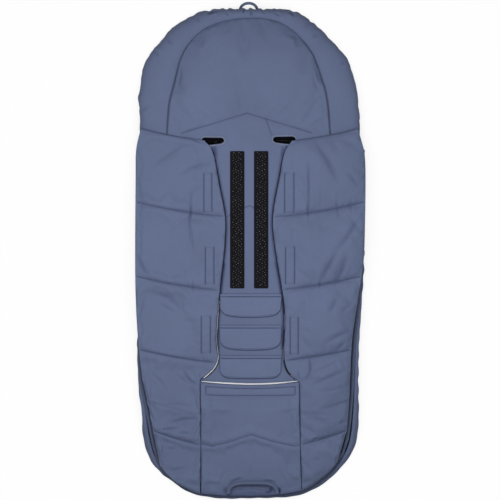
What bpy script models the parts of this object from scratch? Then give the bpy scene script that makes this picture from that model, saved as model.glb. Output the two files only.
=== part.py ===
"""A stroller footmuff, lying face down with its back up.

Metres. +X is the right side of the back as it is seen from above, +Y points to the hood, +Z is up.
Points on the plan are given as (across, along): across in half widths, along in lengths from the foot.
"""

import math

import bmesh
import bpy
from mathutils import Matrix, Vector

# Overall sizes
WIDTH = 0.485
LENGTH = 1.027

# Layers, from the floor up
COVER_PAD = 0.014
LINING = 0.003
CAVITY = 0.020
BACK_PAD = 0.017
SLEEVE = 0.0039
WING_PAD = 0.005
QUILT_RISE = 0.013
QUILT_DIP = 0.003
HOOD_RISE = 0.015
HOOD_CURL = 0.034
FIT = 0.0004
SEAM_GAP = 0.0008

# Zip
COIL_RADIUS = 0.0015
COIL_GAP = 0.0014
TAPE_WIDTH = 0.0046
TAPE_THICKNESS = 0.0009
SLIDER_LENGTH = 0.010
PULL_LENGTH = 0.030

# How square the corners of the padded pieces stay, from 0 to 1
CORNER_CREASE = 0.9

# Webbing, tapes and slots
STRIP_WIDTH = 0.030
STRIP_LENGTH = 0.288
STRIP_THICKNESS = 0.0018
PATCH_SIZE = (0.018, 0.078)
PATCH_THICKNESS = 0.0013
SLOT_SIZE = (0.048, 0.017)
CROTCH_SLOT_SIZE = (0.060, 0.010)
BINDING_WIDTH = 0.0035
BINDING_THICKNESS = 0.0013
FLAP_WIDTH = 0.127
FLAP_THICKNESS = 0.0024
FLAP_CORNER = 0.014
PIPING_RADIUS = 0.0022
WING_PIPING_RADIUS = 0.0012
ELASTIC_RADIUS = 0.0026
CASING_RADIUS = 0.0046
CUFF_RADIUS = 0.0025
HANG_LOOP_SIZE = (0.041, 0.017)
HANG_LOOP_BAND = 0.007
FOOT_LOOP_SIZE = (0.110, 0.028)
FOOT_LOOP_BAND = 0.009
LOOP_THICKNESS = 0.0016

# Heights that follow from the layers
LINING_Z = COVER_PAD + FIT
BACK_LINING_Z = LINING_Z + LINING + CAVITY
BACK_BASE = BACK_LINING_Z + LINING + FIT
BACK_TOP = BACK_BASE + BACK_PAD
WING_BASE = BACK_TOP + SLEEVE
FOLD_Z = WING_BASE + WING_PAD
COIL_STEP = COIL_RADIUS + COIL_GAP / 2
TAPE_START = COIL_STEP + COIL_RADIUS + 0.0002
TAPE_END = TAPE_START + TAPE_WIDTH
ZIP_Z = BACK_TOP - 0.0018 - TAPE_END
FOOT_HINGE_Z = BACK_TOP - 0.006

# Zip line from the left shoulder round the foot to the right shoulder: across, along,
# how far the front cover bulges out past it in metres, tilt of the zip from upright in degrees
ZIP_LINE = [
    (-0.952, 0.716, 0.005, 0),
    (-0.952, 0.550, 0.005, 0),
    (-0.952, 0.400, 0.005, 0),
    (-0.952, 0.305, 0.006, 25),
    (-0.929, 0.243, 0.007, 50),
    (-0.874, 0.188, 0.014, 75),
    (-0.831, 0.131, 0.019, 75),
    (-0.780, 0.078, 0.014, 50),
    (-0.680, 0.039, 0.005, 20),
    (-0.511, 0.013, 0.003, 0),
    (-0.255, 0.005, 0.002, 0),
    (0.004, 0.004, 0.002, 0),
    (0.221, 0.005, 0.002, 0),
    (0.420, 0.013, 0.006, 10),
    (0.610, 0.038, 0.010, 40),
    (0.754, 0.078, 0.016, 60),
    (0.821, 0.115, 0.021, 75),
    (0.853, 0.170, 0.022, 75),
    (0.874, 0.241, 0.017, 75),
    (0.890, 0.313, 0.013, 60),
    (0.931, 0.389, 0.007, 35),
    (0.970, 0.466, 0.005, 10),
    (0.974, 0.560, 0.005, 0),
    (0.974, 0.640, 0.005, 0),
    (0.974, 0.716, 0.005, 0),
]
CORNER_LEFT = 0.395
CORNER_RIGHT = 0.590
ZIP_END_LEFT = 0.445
ZIP_END_RIGHT = 0.545

# Hood
HOOD_SEAM = [
    (-0.830, 0.724), (-0.745, 0.755), (-0.697, 0.800), (-0.654, 0.847), (-0.567, 0.912), (-0.368, 0.961),
    (-0.052, 0.980), (0.264, 0.971), (0.511, 0.920), (0.636, 0.851), (0.680, 0.804), (0.725, 0.755),
    (0.825, 0.724),
]
HOOD_EDGE = [
    (-0.952, 0.722), (-0.955, 0.765), (-0.965, 0.814), (-0.939, 0.855), (-0.861, 0.912), (-0.671, 0.961),
    (-0.385, 0.995), (0.004, 1.000), (0.394, 0.994), (0.654, 0.955), (0.835, 0.900), (0.905, 0.855),
    (0.935, 0.814), (0.948, 0.765), (0.950, 0.722),
]

# Outer layer: outline of each side, quilting and opening
EDGE_LEFT = [
    (-0.939, 0.755), (-0.982, 0.712), (-0.996, 0.650), (-0.996, 0.479), (-0.978, 0.384), (-0.950, 0.305),
    (-0.905, 0.243), (-0.853, 0.188), (-0.810, 0.131), (-0.760, 0.080),
]
FOOT_LEFT = [(-0.738, 0.071), (-0.632, 0.041), (-0.498, 0.019), (-0.424, 0.011)]
EDGE_RIGHT = [
    (0.887, 0.751), (0.965, 0.720), (0.991, 0.661), (0.996, 0.569), (0.974, 0.483), (0.913, 0.405),
    (0.870, 0.323), (0.844, 0.252), (0.827, 0.170), (0.792, 0.115), (0.740, 0.088),
]
FOOT_RIGHT = [(0.723, 0.080), (0.593, 0.047), (0.480, 0.026), (0.452, 0.021)]
FOLD_LEFT = [(-0.844, 0.751), (-0.429, 0.239)]
FOLD_RIGHT = [(0.835, 0.748), (0.429, 0.239)]
WING_LEFT = [
    (-0.385, 0.729), (-0.316, 0.706), (-0.259, 0.638), (-0.210, 0.573), (-0.217, 0.509), (-0.259, 0.421),
    (-0.287, 0.331), (-0.275, 0.288), (-0.310, 0.266), (-0.400, 0.246),
]
WING_RIGHT = [
    (0.385, 0.736), (0.304, 0.706), (0.262, 0.658), (0.203, 0.577), (0.221, 0.513), (0.296, 0.405),
    (0.307, 0.351), (0.300, 0.304), (0.330, 0.272), (0.405, 0.246),
]
QUILT_LEVELS = [0.755, 0.606, 0.454, 0.304, 0.139]
WING_LAST_LEVEL = 0.275
QUILT_DROOP = 0.034
POCKET_TOP = [(-0.424, 0.239), (-0.210, 0.233), (0.004, 0.231), (0.220, 0.233), (0.429, 0.238)]
POCKET_FOOT = [(-0.416, 0.011), (-0.210, 0.006), (0.004, 0.005), (0.230, 0.008), (0.448, 0.020)]

# Pieces on the back
STRIPS = {"left": (-0.106, 0.569), "right": (0.101, 0.569)}
SHOULDER_SLOTS = {"left": (-0.319, 0.729), "right": (0.303, 0.731)}
FLAPS = {"upper": (0.412, 0.369), "middle": (0.348, 0.302), "lower": (0.286, 0.244)}
PATCHES = {
    "left": {"upper": (-0.359, 0.625), "middle": (-0.345, 0.476), "lower": (-0.377, 0.334)},
    "right": {"upper": (0.344, 0.624), "middle": (0.351, 0.476), "lower": (0.385, 0.332)},
}
POCKET_PATCH = (0.006, 0.220)
POCKET_PATCH_SIZE = (0.186, 0.016)
SLIDER_AT = 0.690

COLOURS = {
    "shell_fabric": (0.127, 0.162, 0.275, 1.0),
    "lining_fleece": (0.030, 0.031, 0.036, 1.0),
    "webbing": (0.020, 0.020, 0.024, 1.0),
    "grip_rubber": (0.018, 0.017, 0.021, 1.0),
    "zip_nylon": (0.028, 0.030, 0.040, 1.0),
    "reflective_piping": (0.620, 0.630, 0.660, 1.0),
    "binding_tape": (0.420, 0.440, 0.500, 1.0),
    "hook_and_loop": (0.050, 0.055, 0.070, 1.0),
    "elastic": (0.300, 0.300, 0.310, 1.0),
    "metal": (0.300, 0.300, 0.310, 1.0),
}


def spot(point):
    """A plan point in metres from (across, along)."""
    return Vector((point[0] * WIDTH / 2, (point[1] - 0.5) * LENGTH))


def blend(a, b, t):
    return a + (b - a) * t


class Line:
    """A smooth line through points, read by its fraction from 0 to 1. Values after x and y come along."""

    STEPS = 24

    def __init__(self, points):
        rows = [Vector((*spot(p), *p[2:])) if len(p) > 2 else spot(p) for p in points]
        self.samples = []
        for i in range(len(rows) - 1):
            before, after = rows[max(i - 1, 0)], rows[min(i + 2, len(rows) - 1)]
            for k in range(self.STEPS):
                t = k / self.STEPS
                a = rows[i] * 2 + (rows[i + 1] - before) * t
                b = (before * 2 - rows[i] * 5 + rows[i + 1] * 4 - after) * t * t
                c = (rows[i] * 3 - before - rows[i + 1] * 3 + after) * t * t * t
                self.samples.append((a + b + c) / 2)
        self.samples.append(rows[-1])
        self.marks = [0.0]
        for a, b in zip(self.samples, self.samples[1:]):
            self.marks.append(self.marks[-1] + (b.xy - a.xy).length)
        self.length = self.marks[-1]

    def read(self, fraction):
        reach = min(max(fraction, 0.0), 1.0) * self.length
        for i in range(1, len(self.marks)):
            if self.marks[i] >= reach:
                step = self.marks[i] - self.marks[i - 1]
                part = (reach - self.marks[i - 1]) / step if step else 0.0
                return blend(self.samples[i - 1], self.samples[i], part)
        return self.samples[-1]

    def side(self, fraction):
        """The plan direction to the right of travel: outward for lines from left round the foot."""
        ahead = self.read(fraction + 0.004).xy - self.read(fraction - 0.004).xy
        return Vector((ahead.y, -ahead.x)).normalized()

    def x_at(self, y):
        for a, b in zip(self.samples, self.samples[1:]):
            if (a.y - y) * (b.y - y) <= 0 and a.y != b.y:
                return blend(a.x, b.x, (y - a.y) / (b.y - a.y))
        ends = sorted((self.samples[0], self.samples[-1]), key=lambda p: p.y)
        return ends[1].x if y > ends[1].y else ends[0].x


zip_line = Line(ZIP_LINE)
hood_seam = Line(HOOD_SEAM)
hood_edge = Line(HOOD_EDGE)
materials = {}


def material(name):
    if name not in materials:
        made = bpy.data.materials.new(name)
        made.use_nodes = True
        shader = made.node_tree.nodes["Principled BSDF"]
        shader.inputs["Base Color"].default_value = COLOURS[name]
        shader.inputs["Roughness"].default_value = 0.45 if name in ("metal", "grip_rubber") else 0.9
        shader.inputs["Metallic"].default_value = 1.0 if name == "metal" else 0.0
        materials[name] = made
    return materials[name]


def place(obj, stuff, origin=None, where="parts"):
    """Links an object, gives it a material of its own and puts its origin on its joint axis."""
    own = material(stuff).copy()
    own.name = f"{obj.name}_{stuff}"
    obj.data.materials.append(own)
    if origin is not None:
        obj.data.transform(Matrix.Translation(-origin))
        obj.location = origin
    bpy.data.collections[COLLECTIONS[where]].objects.link(obj)
    return obj


def body(name, verts, faces, stuff, levels=0, origin=None, where="parts"):
    mesh = bpy.data.meshes.new(name)
    work = bmesh.new()
    made = [work.verts.new(v) for v in verts]
    for face in faces:
        work.faces.new([made[i] for i in face])
    bmesh.ops.recalc_face_normals(work, faces=work.faces)
    work.to_mesh(mesh)
    work.free()
    obj = place(bpy.data.objects.new(name, mesh), stuff, origin, where)
    if levels:
        modifier = obj.modifiers.new("Smooth", "SUBSURF")
        modifier.levels = modifier.render_levels = levels
    return obj


def slab(name, upper, lower, stuff, levels=1, origin=None, corners=0.0):
    """A padded piece between two grids of points with the same rows and columns."""
    rows, columns = len(upper), len(upper[0])
    verts = [p for grid in (upper, lower) for row in grid for p in row]

    def top(i, j):
        return i * columns + j

    def base(i, j):
        return rows * columns + i * columns + j

    faces = []
    for i in range(rows - 1):
        for j in range(columns - 1):
            faces.append((top(i, j), top(i, j + 1), top(i + 1, j + 1), top(i + 1, j)))
            faces.append((base(i, j), base(i + 1, j), base(i + 1, j + 1), base(i, j + 1)))
    for i in range(rows - 1):
        for j in (0, columns - 1):
            faces.append((top(i, j), top(i + 1, j), base(i + 1, j), base(i, j)))
    for j in range(columns - 1):
        for i in (0, rows - 1):
            faces.append((top(i, j), top(i, j + 1), base(i, j + 1), base(i, j)))
    obj = body(name, verts, faces, stuff, levels, origin)
    if corners:
        pins = obj.data.attributes.new("crease_vert", "FLOAT", "POINT")
        for i in (0, rows - 1):
            for j in (0, columns - 1):
                pins.data[top(i, j)].value = pins.data[base(i, j)].value = corners
    return obj


def sweep(name, loops, stuff, origin=None):
    """A closed bar through a row of profiles, each a loop of the same number of points."""
    count = len(loops[0])
    verts = [p for loop in loops for p in loop]
    faces = [tuple(range(count)), tuple(range(len(verts) - count, len(verts)))]
    for i in range(len(loops) - 1):
        for j in range(count):
            k = (j + 1) % count
            a, b = i * count, (i + 1) * count
            faces.append((a + j, a + k, b + k, b + j))
    return body(name, verts, faces, stuff, 0, origin)


def plate(name, loops, low, high, stuff, origin=None, where="parts"):
    """A flat piece between two heights: the first plan loop is its outline and the rest its holes."""
    curve = bpy.data.curves.new(name, "CURVE")
    curve.dimensions = "2D"
    curve.fill_mode = "BOTH"
    curve.extrude = (high - low) / 2
    for loop in loops:
        spline = curve.splines.new("POLY")
        spline.points.add(len(loop) - 1)
        for point, (x, y) in zip(spline.points, loop):
            point.co = (x, y, 0, 1)
        spline.use_cyclic_u = True
    helper = bpy.data.objects.new(name, curve)
    mesh = bpy.data.meshes.new_from_object(helper)
    bpy.data.objects.remove(helper)
    bpy.data.curves.remove(curve)
    work = bmesh.new()
    work.from_mesh(mesh)
    bmesh.ops.remove_doubles(work, verts=work.verts, dist=1e-6)
    bmesh.ops.recalc_face_normals(work, faces=work.faces)
    work.to_mesh(mesh)
    work.free()
    mesh.transform(Matrix.Translation((0, 0, (low + high) / 2)))
    mesh.name = name
    mesh.materials.clear()
    return place(bpy.data.objects.new(name, mesh), stuff, origin, where)


def rounded(centre, size, radius, steps=3):
    """The plan loop of a rounded rectangle."""
    loop = []
    for turn, (sx, sy) in enumerate(((1, 1), (-1, 1), (-1, -1), (1, -1))):
        pivot = Vector((centre.x + sx * (size[0] / 2 - radius), centre.y + sy * (size[1] / 2 - radius)))
        for k in range(steps + 1):
            angle = math.pi / 2 * (turn + k / steps)
            loop.append(pivot + radius * Vector((math.cos(angle), math.sin(angle))))
    return loop


def round_loop(centre, across, up, radius, sides=6, start=0.0, turn=2 * math.pi):
    whole = turn >= 2 * math.pi
    count = sides if whole else sides + 1
    angles = [start + turn * k / sides for k in range(count)]
    return [
        centre + radius * (math.cos(angle) * across + math.sin(angle) * up)
        for angle in angles
    ]


def cut(obj, cutter):
    cutter.hide_render = True
    cutter.display_type = "WIRE"
    modifier = obj.modifiers.new(cutter.name, "BOOLEAN")
    modifier.operation = "DIFFERENCE"
    modifier.solver = "EXACT"
    modifier.object = cutter


def raised(point, z):
    return Vector((point.x, point.y, z))


# Front cover and its lining

TRAY_COLUMNS = 8
TRAY_ROWS = 11


def tray_grid(rings):
    """Points of a shallow boat: rings(fraction, ring) gives its rim, side and floor edge."""
    n, m, deep = TRAY_COLUMNS, TRAY_ROWS, 3
    grid = [[None] * (n + 1) for _ in range(m + 1)]
    for k in range(deep + 1):
        for j in range(k, m + 1):
            up = (j - k) / (m - k)
            grid[j][k] = rings(CORNER_LEFT * (1 - up), k)
            grid[j][n - k] = rings(CORNER_RIGHT + (1 - CORNER_RIGHT) * up, k)
        for i in range(k, n - k + 1):
            grid[k][i] = rings(blend(CORNER_LEFT, CORNER_RIGHT, (i - k) / (n - 2 * k)), k)
    for j in range(deep + 1, m + 1):
        grid[j][n // 2] = (grid[j][deep] + grid[j][n - deep]) / 2
    return grid


def zip_frame(fraction):
    """Centre of the zip, its direction from cover to back, and the plan direction outward."""
    at = zip_line.read(fraction)
    out = zip_line.side(fraction)
    tilt = math.radians(at[3])
    across = Vector((-out.x * math.sin(tilt), -out.y * math.sin(tilt), math.cos(tilt)))
    return raised(at, ZIP_Z), across, out.to_3d(), at[2], math.sin(tilt)


WALL = 0.009
RIM_DROP = TAPE_END + FIT + 0.0004


def cover_outer(fraction, ring):
    centre, across, out, bulge, lean = zip_frame(fraction)
    if ring == 0:
        return centre - across * RIM_DROP + out * min(WALL / 2 * (1 + lean), bulge)
    reach, z = {1: (bulge, 0.025), 2: (bulge - 0.011, 0.0), 3: (-0.045, 0.0)}[ring]
    return raised(centre + out * reach, z)


def cover_inner(fraction, ring):
    if ring == 0:
        return cover_outer(fraction, 0) - zip_frame(fraction)[2] * WALL
    centre, across, out, bulge, lean = zip_frame(fraction)
    reach, z = {1: (bulge - 0.012, 0.026), 2: (bulge - 0.023, COVER_PAD), 3: (-0.050, COVER_PAD)}[ring]
    return raised(centre + out * reach, z)


def lining_outer(fraction, ring):
    centre, across, out, bulge, lean = zip_frame(fraction)
    rim = cover_inner(fraction, 0) - out * 0.0085
    if ring == 0:
        return raised(rim, 0.031)
    reach, z = {1: (bulge - 0.0195, 0.0265), 2: (bulge - 0.0295, LINING_Z), 3: (-0.052, LINING_Z)}[ring]
    return raised(centre + out * reach, z)


def lining_inner(fraction, ring):
    centre, across, out, bulge, lean = zip_frame(fraction)
    outer = lining_outer(fraction, ring)
    return outer - out * LINING if ring < 2 else raised(outer - out * 0.002, outer.z + LINING)


# Outer layer: side panels, wings and pocket


def quilt_y(level, x, x_outer):
    """Height on the plan of a quilting line that starts at x_outer and sags to the middle."""
    droop = abs(2 * x / WIDTH) ** 1.8 - abs(2 * x_outer / WIDTH) ** 1.8
    return (level - 0.5) * LENGTH + QUILT_DROOP * droop


def meet(level, x_outer, line):
    """Where a quilting line meets another line."""
    x = x_outer
    for _ in range(6):
        y = quilt_y(level, x, x_outer)
        x = line.x_at(y)
    return x


def quilt_rows(levels):
    """Rows of a quilted piece as (level, rise): the seams and two puffed rows between each pair."""
    rows = []
    for a, b in zip(levels, levels[1:]):
        rows += [(a, 0.0), (blend(a, b, 0.34), 1.0), (blend(a, b, 0.67), 1.0)]
    return rows + [(levels[-1], 0.0)]


def quilted(rise):
    """Height of the filling above the seams' level, lower along the stitching than beside it."""
    return QUILT_RISE * rise - (QUILT_DIP if rise == 0.0 else 0.0)


def ease(value, low, high):
    t = min(max((value - low) / (high - low), 0.0), 1.0)
    return t * t * (3 - 2 * t)


SIDES = {
    "left": (Line(EDGE_LEFT), Line(FOLD_LEFT), Line(WING_LEFT), Line(FOOT_LEFT), -1, (0.24, 0.34)),
    "right": (Line(EDGE_RIGHT), Line(FOLD_RIGHT), Line(WING_RIGHT), Line(FOOT_RIGHT), 1, (0.34, 0.50)),
}
PANEL_COLUMNS = 3
EDGE_PAD = 0.007


def fold_axis(side):
    ends = [spot(p) for p in (FOLD_LEFT if side == "left" else FOLD_RIGHT)]
    return raised(ends[1], FOLD_Z), (ends[0] - ends[1]).normalized()


def side_panel(side):
    edge, fold, _, foot, sign, fall = SIDES[side]
    pocket_x = spot(POCKET_TOP[0 if side == "left" else -1]).x
    seam_x = spot(POCKET_FOOT[0 if side == "left" else -1]).x
    corner_y = spot(FOLD_LEFT[1]).y
    foot_y = spot(POCKET_FOOT[0]).y
    plan = []
    for level, rise in quilt_rows(QUILT_LEVELS):
        y = (level - 0.5) * LENGTH
        outer = edge.x_at(y)
        inner = meet(level, outer, fold)
        if quilt_y(level, inner, outer) < corner_y:
            inner = blend(pocket_x, seam_x, (corner_y - quilt_y(level, inner, outer)) / (corner_y - foot_y))
        inner += sign * SEAM_GAP
        row = [blend(outer, inner, j / PANEL_COLUMNS) for j in range(PANEL_COLUMNS + 1)]
        plan.append(([Vector((x, quilt_y(level, x, outer))) for x in row], rise, level))
    last = plan[-1][0]
    shift = Vector((sign * SEAM_GAP, 0))
    bottom = [foot.read(j / PANEL_COLUMNS) + shift for j in range(PANEL_COLUMNS + 1)]
    plan.append(([blend(a, b, 0.5) for a, b in zip(last, bottom)], 1.0, 0.09))
    plan.append((bottom, 0.0, 0.04))
    upper, lower = [], []
    for points, rise, level in plan:
        drop = 1 - ease(level, *fall)
        low, high = [], []
        for j, p in enumerate(points):
            at_edge = j == 0 or rise == 0.0 and level < 0.05
            base = BACK_TOP - 0.0015 - 0.0045 * drop if at_edge else BACK_TOP + 0.0006
            if level < 0.05:
                base = max(base, FOOT_HINGE_Z + 0.0006)
            if j == PANEL_COLUMNS:
                top = FOLD_Z if level > 0.05 else base + EDGE_PAD
            elif at_edge:
                top = base + EDGE_PAD
            else:
                top = BACK_TOP + EDGE_PAD + quilted(rise)
            low.append(raised(p, base))
            high.append(raised(p, top))
        lower.append(low)
        upper.append(high)
    return slab(f"side_panel_{side}", upper, lower, "shell_fabric", corners=CORNER_CREASE)


def wing(side):
    edge, fold, free, _, sign, _ = SIDES[side]
    origin, _ = fold_axis(side)
    levels = [v for v in QUILT_LEVELS if v > WING_LAST_LEVEL] + [WING_LAST_LEVEL]
    upper, lower = [], []
    for level, rise in quilt_rows(levels):
        outer = edge.x_at((level - 0.5) * LENGTH)
        start = meet(level, outer, fold) - sign * SEAM_GAP
        end = meet(level, outer, free)
        high, low = [], []
        for j in range(PANEL_COLUMNS + 1):
            x = blend(start, end, j / PANEL_COLUMNS)
            p = Vector((x, quilt_y(level, x, outer)))
            inside = 0 < j < PANEL_COLUMNS
            high.append(raised(p, FOLD_Z + (quilted(rise) if inside and level > 0.29 else 0.0)))
            low.append(raised(p, WING_BASE))
        upper.append(high)
        lower.append(low)
    return slab(f"wing_{side}", upper, lower, "shell_fabric", origin=origin, corners=CORNER_CREASE)


def pocket():
    top, foot = Line(POCKET_TOP), Line(POCKET_FOOT)
    columns = 6
    rows = [(0.0, 0.0), (0.10, 0.0), (0.17, 1.0), (0.36, 1.0), (0.53, 0.0), (0.75, 0.6), (1.0, 0.0)]
    upper, lower = [], []
    for t, rise in rows:
        high, low = [], []
        for j in range(columns + 1):
            s = j / columns
            a, b = top.read(s), foot.read(s)
            y = blend(a.y, b.y, t) + (0.022 * math.cos(math.pi * (s - 0.5)) if 0.5 < t < 0.6 else 0.0)
            x = blend(a.x, b.x, t)
            x = min(max(x, a.x + SEAM_GAP / 2), foot.read(1).x)
            under = WING_BASE - (WING_BASE - BACK_TOP - 0.0006) * ease(t, 0.15, 0.35)
            if t == 1.0:
                under = FOOT_HINGE_Z + 0.0006
            inside = 0 < j < columns
            crest = FOLD_Z - 0.004 * ease(t, 0.5, 1.0) + (quilted(rise) if inside and t > 0.12 else 0.0)
            high.append(Vector((x, y, under + EDGE_PAD + 0.003 if t == 1.0 else crest)))
            low.append(Vector((x, y, under)))
        upper.append(high)
        lower.append(low)
    return slab("pocket", upper, lower, "shell_fabric", corners=CORNER_CREASE)


# Back panel and hood


def back_outline(inset):
    """The plan edge of the back inside the zip, from the left shoulder round the foot to the right."""
    points = []
    for k in range(41):
        f = 0.03 + 0.94 * k / 40
        points.append(zip_line.read(f).xy - zip_line.side(f) * inset)
    return points


BACK_INSET = 0.017
EDGE_THIN = 0.005
SEATED_SEAMS = (0.425, 0.58)


def back_panel():
    side_rows = [0.05, 0.11, 0.19, 0.28, 0.36, 0.425, 0.50, 0.58, 0.65]
    grid = []
    left = [zip_line.read(f).xy - zip_line.side(f) * BACK_INSET for f in [k / 200 for k in range(101)]]
    right = [zip_line.read(f).xy - zip_line.side(f) * BACK_INSET for f in [1 - k / 200 for k in range(101)]]

    def x_of(line, y):
        for a, b in zip(line, line[1:]):
            if (a.y - y) * (b.y - y) <= 0 and a.y != b.y:
                return blend(a.x, b.x, (y - a.y) / (b.y - a.y))
        return line[-1].x

    foot_y = spot((0, 0.027)).y
    grid.append(([Vector((WIDTH * blend(-0.20, 0.20, j / 8), foot_y)) for j in range(9)], 0.0))
    for v in side_rows:
        y = (v - 0.5) * LENGTH
        a, b = x_of(left, y), x_of(right, y)
        row = [Vector((blend(a, b, j / 8), y)) for j in range(9)]
        grid.append((row, -0.15 if v in SEATED_SEAMS else 0.0))
    hood_rows = [
        (0.0, 0.0, 0.0), (0.085, -0.2, 0.10), (0.16, 1.0, 0.2),
        (0.24, 1.0, 0.4), (0.32, 1.0, 0.7), (0.37, 0.0, 1.0),
    ]
    for f, rise, curved in hood_rows:
        a, b = hood_seam.read(f), hood_seam.read(1 - f)
        row = []
        for j in range(9):
            s = j / 8
            straight = blend(a, b, s)
            arc = hood_seam.read(blend(f, 1 - f, s))
            x = blend(straight.x, arc.x, curved * 0.6)
            row.append(Vector((x, blend(straight.y, arc.y, curved ** 2))))
        grid.append((row, rise))
    chevron = grid[11][0]
    for j in range(1, 8):
        peak = 1 - abs(j - 4) / 3 if 1 <= j <= 7 else 0.0
        chevron[j].y = spot((0, blend(0.745, 0.787, max(peak, 0.0)))).y
    upper, lower = [], []
    for i, (points, rise) in enumerate(grid):
        high, low = [], []
        for j, p in enumerate(points):
            inside = 0 < j < 8
            thin = (0.007, 0.002)[i] if i < 2 else 0.0
            if not inside:
                thin = max(thin, EDGE_THIN if i < 10 else 0.001)
            high.append(raised(p, BACK_TOP - thin + (HOOD_RISE * rise if inside else 0.0)))
            low.append(raised(p, BACK_BASE))
        upper.append(high)
        lower.append(low)
    made = slab("back_panel", upper, lower, "shell_fabric")
    return made


RIM_STATIONS = 18


def rim_section(fraction):
    """Outside of the hood rim at a fraction of the way round: (distance out from the seam, height)."""
    seam, edge = hood_seam.read(fraction), hood_edge.read(fraction)
    wide = (edge - seam).length
    puff = 0.008 * ease(min(fraction, 1 - fraction), 0.08, 0.2)
    section = [
        (SEAM_GAP, BACK_TOP - 0.001),
        (wide * 0.35, BACK_TOP - 0.001 + puff),
        (wide - 0.006, 0.050),
        (wide, 0.030),
        (wide - 0.005, 0.009),
        (wide - 0.018, 0.0008),
        (wide - HOOD_CURL, 0.0008),
    ]
    return seam, (edge - seam).normalized(), section


def inner_section(section, thickness):
    """The section moved in by a thickness, square to its own line."""
    moved = []
    for i, (d, z) in enumerate(section):
        a, b = section[max(i - 1, 0)], section[min(i + 1, len(section) - 1)]
        along = Vector((b[0] - a[0], b[1] - a[1])).normalized()
        moved.append((d + along.y * thickness, z - along.x * thickness))
    return moved


def hood_rim():
    upper, lower = [], []
    for k in range(RIM_STATIONS + 1):
        seam, out, section = rim_section(k / RIM_STATIONS)
        inner = inner_section(section, 0.009)
        inner[0] = (SEAM_GAP, BACK_TOP - 0.011)
        upper.append([raised(seam + out * d, z) for d, z in section])
        lower.append([raised(seam + out * d, z) for d, z in inner])
    return slab("hood_rim", upper, lower, "shell_fabric")


def hood_trim():
    casing, elastic = [], []
    inset = HOOD_CURL + CASING_RADIUS + 0.003
    z = CASING_RADIUS + 0.0006
    for k in range(29):
        f = 0.05 + 0.90 * k / 28
        seam, out, section = rim_section(f)
        wide = (hood_edge.read(f) - seam).length
        centre = raised(seam + out * (wide - inset), z)
        side, up = out.to_3d(), Vector((0, 0, 1))
        start = math.radians(215)
        outer = round_loop(centre, side, up, CASING_RADIUS, 9, start, math.radians(290))
        inner = round_loop(centre, side, up, CASING_RADIUS - 0.0012, 9, start, math.radians(290))
        casing.append(outer + inner[::-1])
        elastic.append(round_loop(centre, side, up, ELASTIC_RADIUS, 8))
    sweep("hood_casing", casing, "shell_fabric")
    sweep("hood_elastic", elastic, "elastic")


def arch(centre, size, band, count=10):
    """The plan loop of a flat band bent into an arch that opens toward the foot."""
    outer, inner = [], []
    for k in range(count + 1):
        angle = math.pi * k / count
        for loop, less in ((outer, 0.0), (inner, band)):
            half, rise = size[0] / 2 - less, size[1] - less
            x = half * math.copysign(abs(math.cos(angle)) ** 0.6, math.cos(angle))
            loop.append(Vector((centre.x + x, centre.y + rise * math.sin(angle) ** 0.75)))
    return outer + inner[::-1]


# Zip


def zip_side(side):
    f0, f1 = (0.0, ZIP_END_LEFT) if side == "left" else (1.0, ZIP_END_RIGHT)
    stations = [blend(f0, f1, k / 26) for k in range(27)]
    for owner, way in (("cover", -1), ("back", 1)):
        coil, tape = [], []
        for f in stations:
            centre, across, out, _, _ = zip_frame(f)
            square = across.cross(Vector((-out.y, out.x, 0))).normalized()
            coil.append(round_loop(centre + across * way * COIL_STEP, across, square, COIL_RADIUS))
            near, far = centre + across * way * TAPE_START, centre + across * way * TAPE_END
            half = square * TAPE_THICKNESS / 2
            tape.append([near - half, near + half, far + half, far - half])
        sweep(f"{owner}_zip_coil_{side}", coil, "zip_nylon")
        sweep(f"{owner}_zip_tape_{side}", tape, "zip_nylon")


def slider(side):
    """A slider that hugs the cover's coil, and its pull. The back's coil lifts clear of both."""
    sign = -1 if side == "left" else 1
    x = spot(ZIP_LINE[0 if side == "left" else -1]).x
    y = spot((0, SLIDER_AT)).y
    low = ZIP_Z - COIL_STEP - COIL_RADIUS - 0.0006
    high = ZIP_Z + 0.0004
    slit, plate_out = COIL_RADIUS + 0.0005, COIL_RADIUS + 0.0015
    neck = ZIP_Z - 0.0004
    pivot = plate_out + 0.0019
    ear = 0.0009
    outline = [
        (-plate_out, low), (-slit, low), (-slit, neck), (slit, neck), (slit, low), (pivot + 0.0012, low),
        (pivot + 0.0012, low + ear), (plate_out, low + ear),
        (plate_out, high - ear), (pivot + 0.0012, high - ear),
        (pivot + 0.0012, high), (-plate_out, high),
    ]
    loops = []
    for step in (-0.5, 0.5):
        loops.append([Vector((x + sign * d, y + step * SLIDER_LENGTH, z)) for d, z in outline])
    sweep(f"slider_{side}", loops, "metal", origin=Vector((x, y, ZIP_Z)))
    middle = (low + high) / 2
    hub = Vector((x + sign * pivot, y, middle))
    half = (high - low) / 2 - ear - 0.0003
    reach = [(0.0010, half), (-0.0012, half), (-0.0060, half), (-0.0085, 0.0038), (-PULL_LENGTH, 0.0038)]
    loops = []
    for dy, tall in reach:
        thick = 0.0007
        loops.append([
            hub + Vector((sign * a * thick, dy, b * tall)) for a, b in ((-1, -1), (1, -1), (1, 1), (-1, 1))
        ])
    sweep(f"zip_pull_{side}", loops, "zip_nylon", origin=hub)


# Pieces that lie on the back


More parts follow.
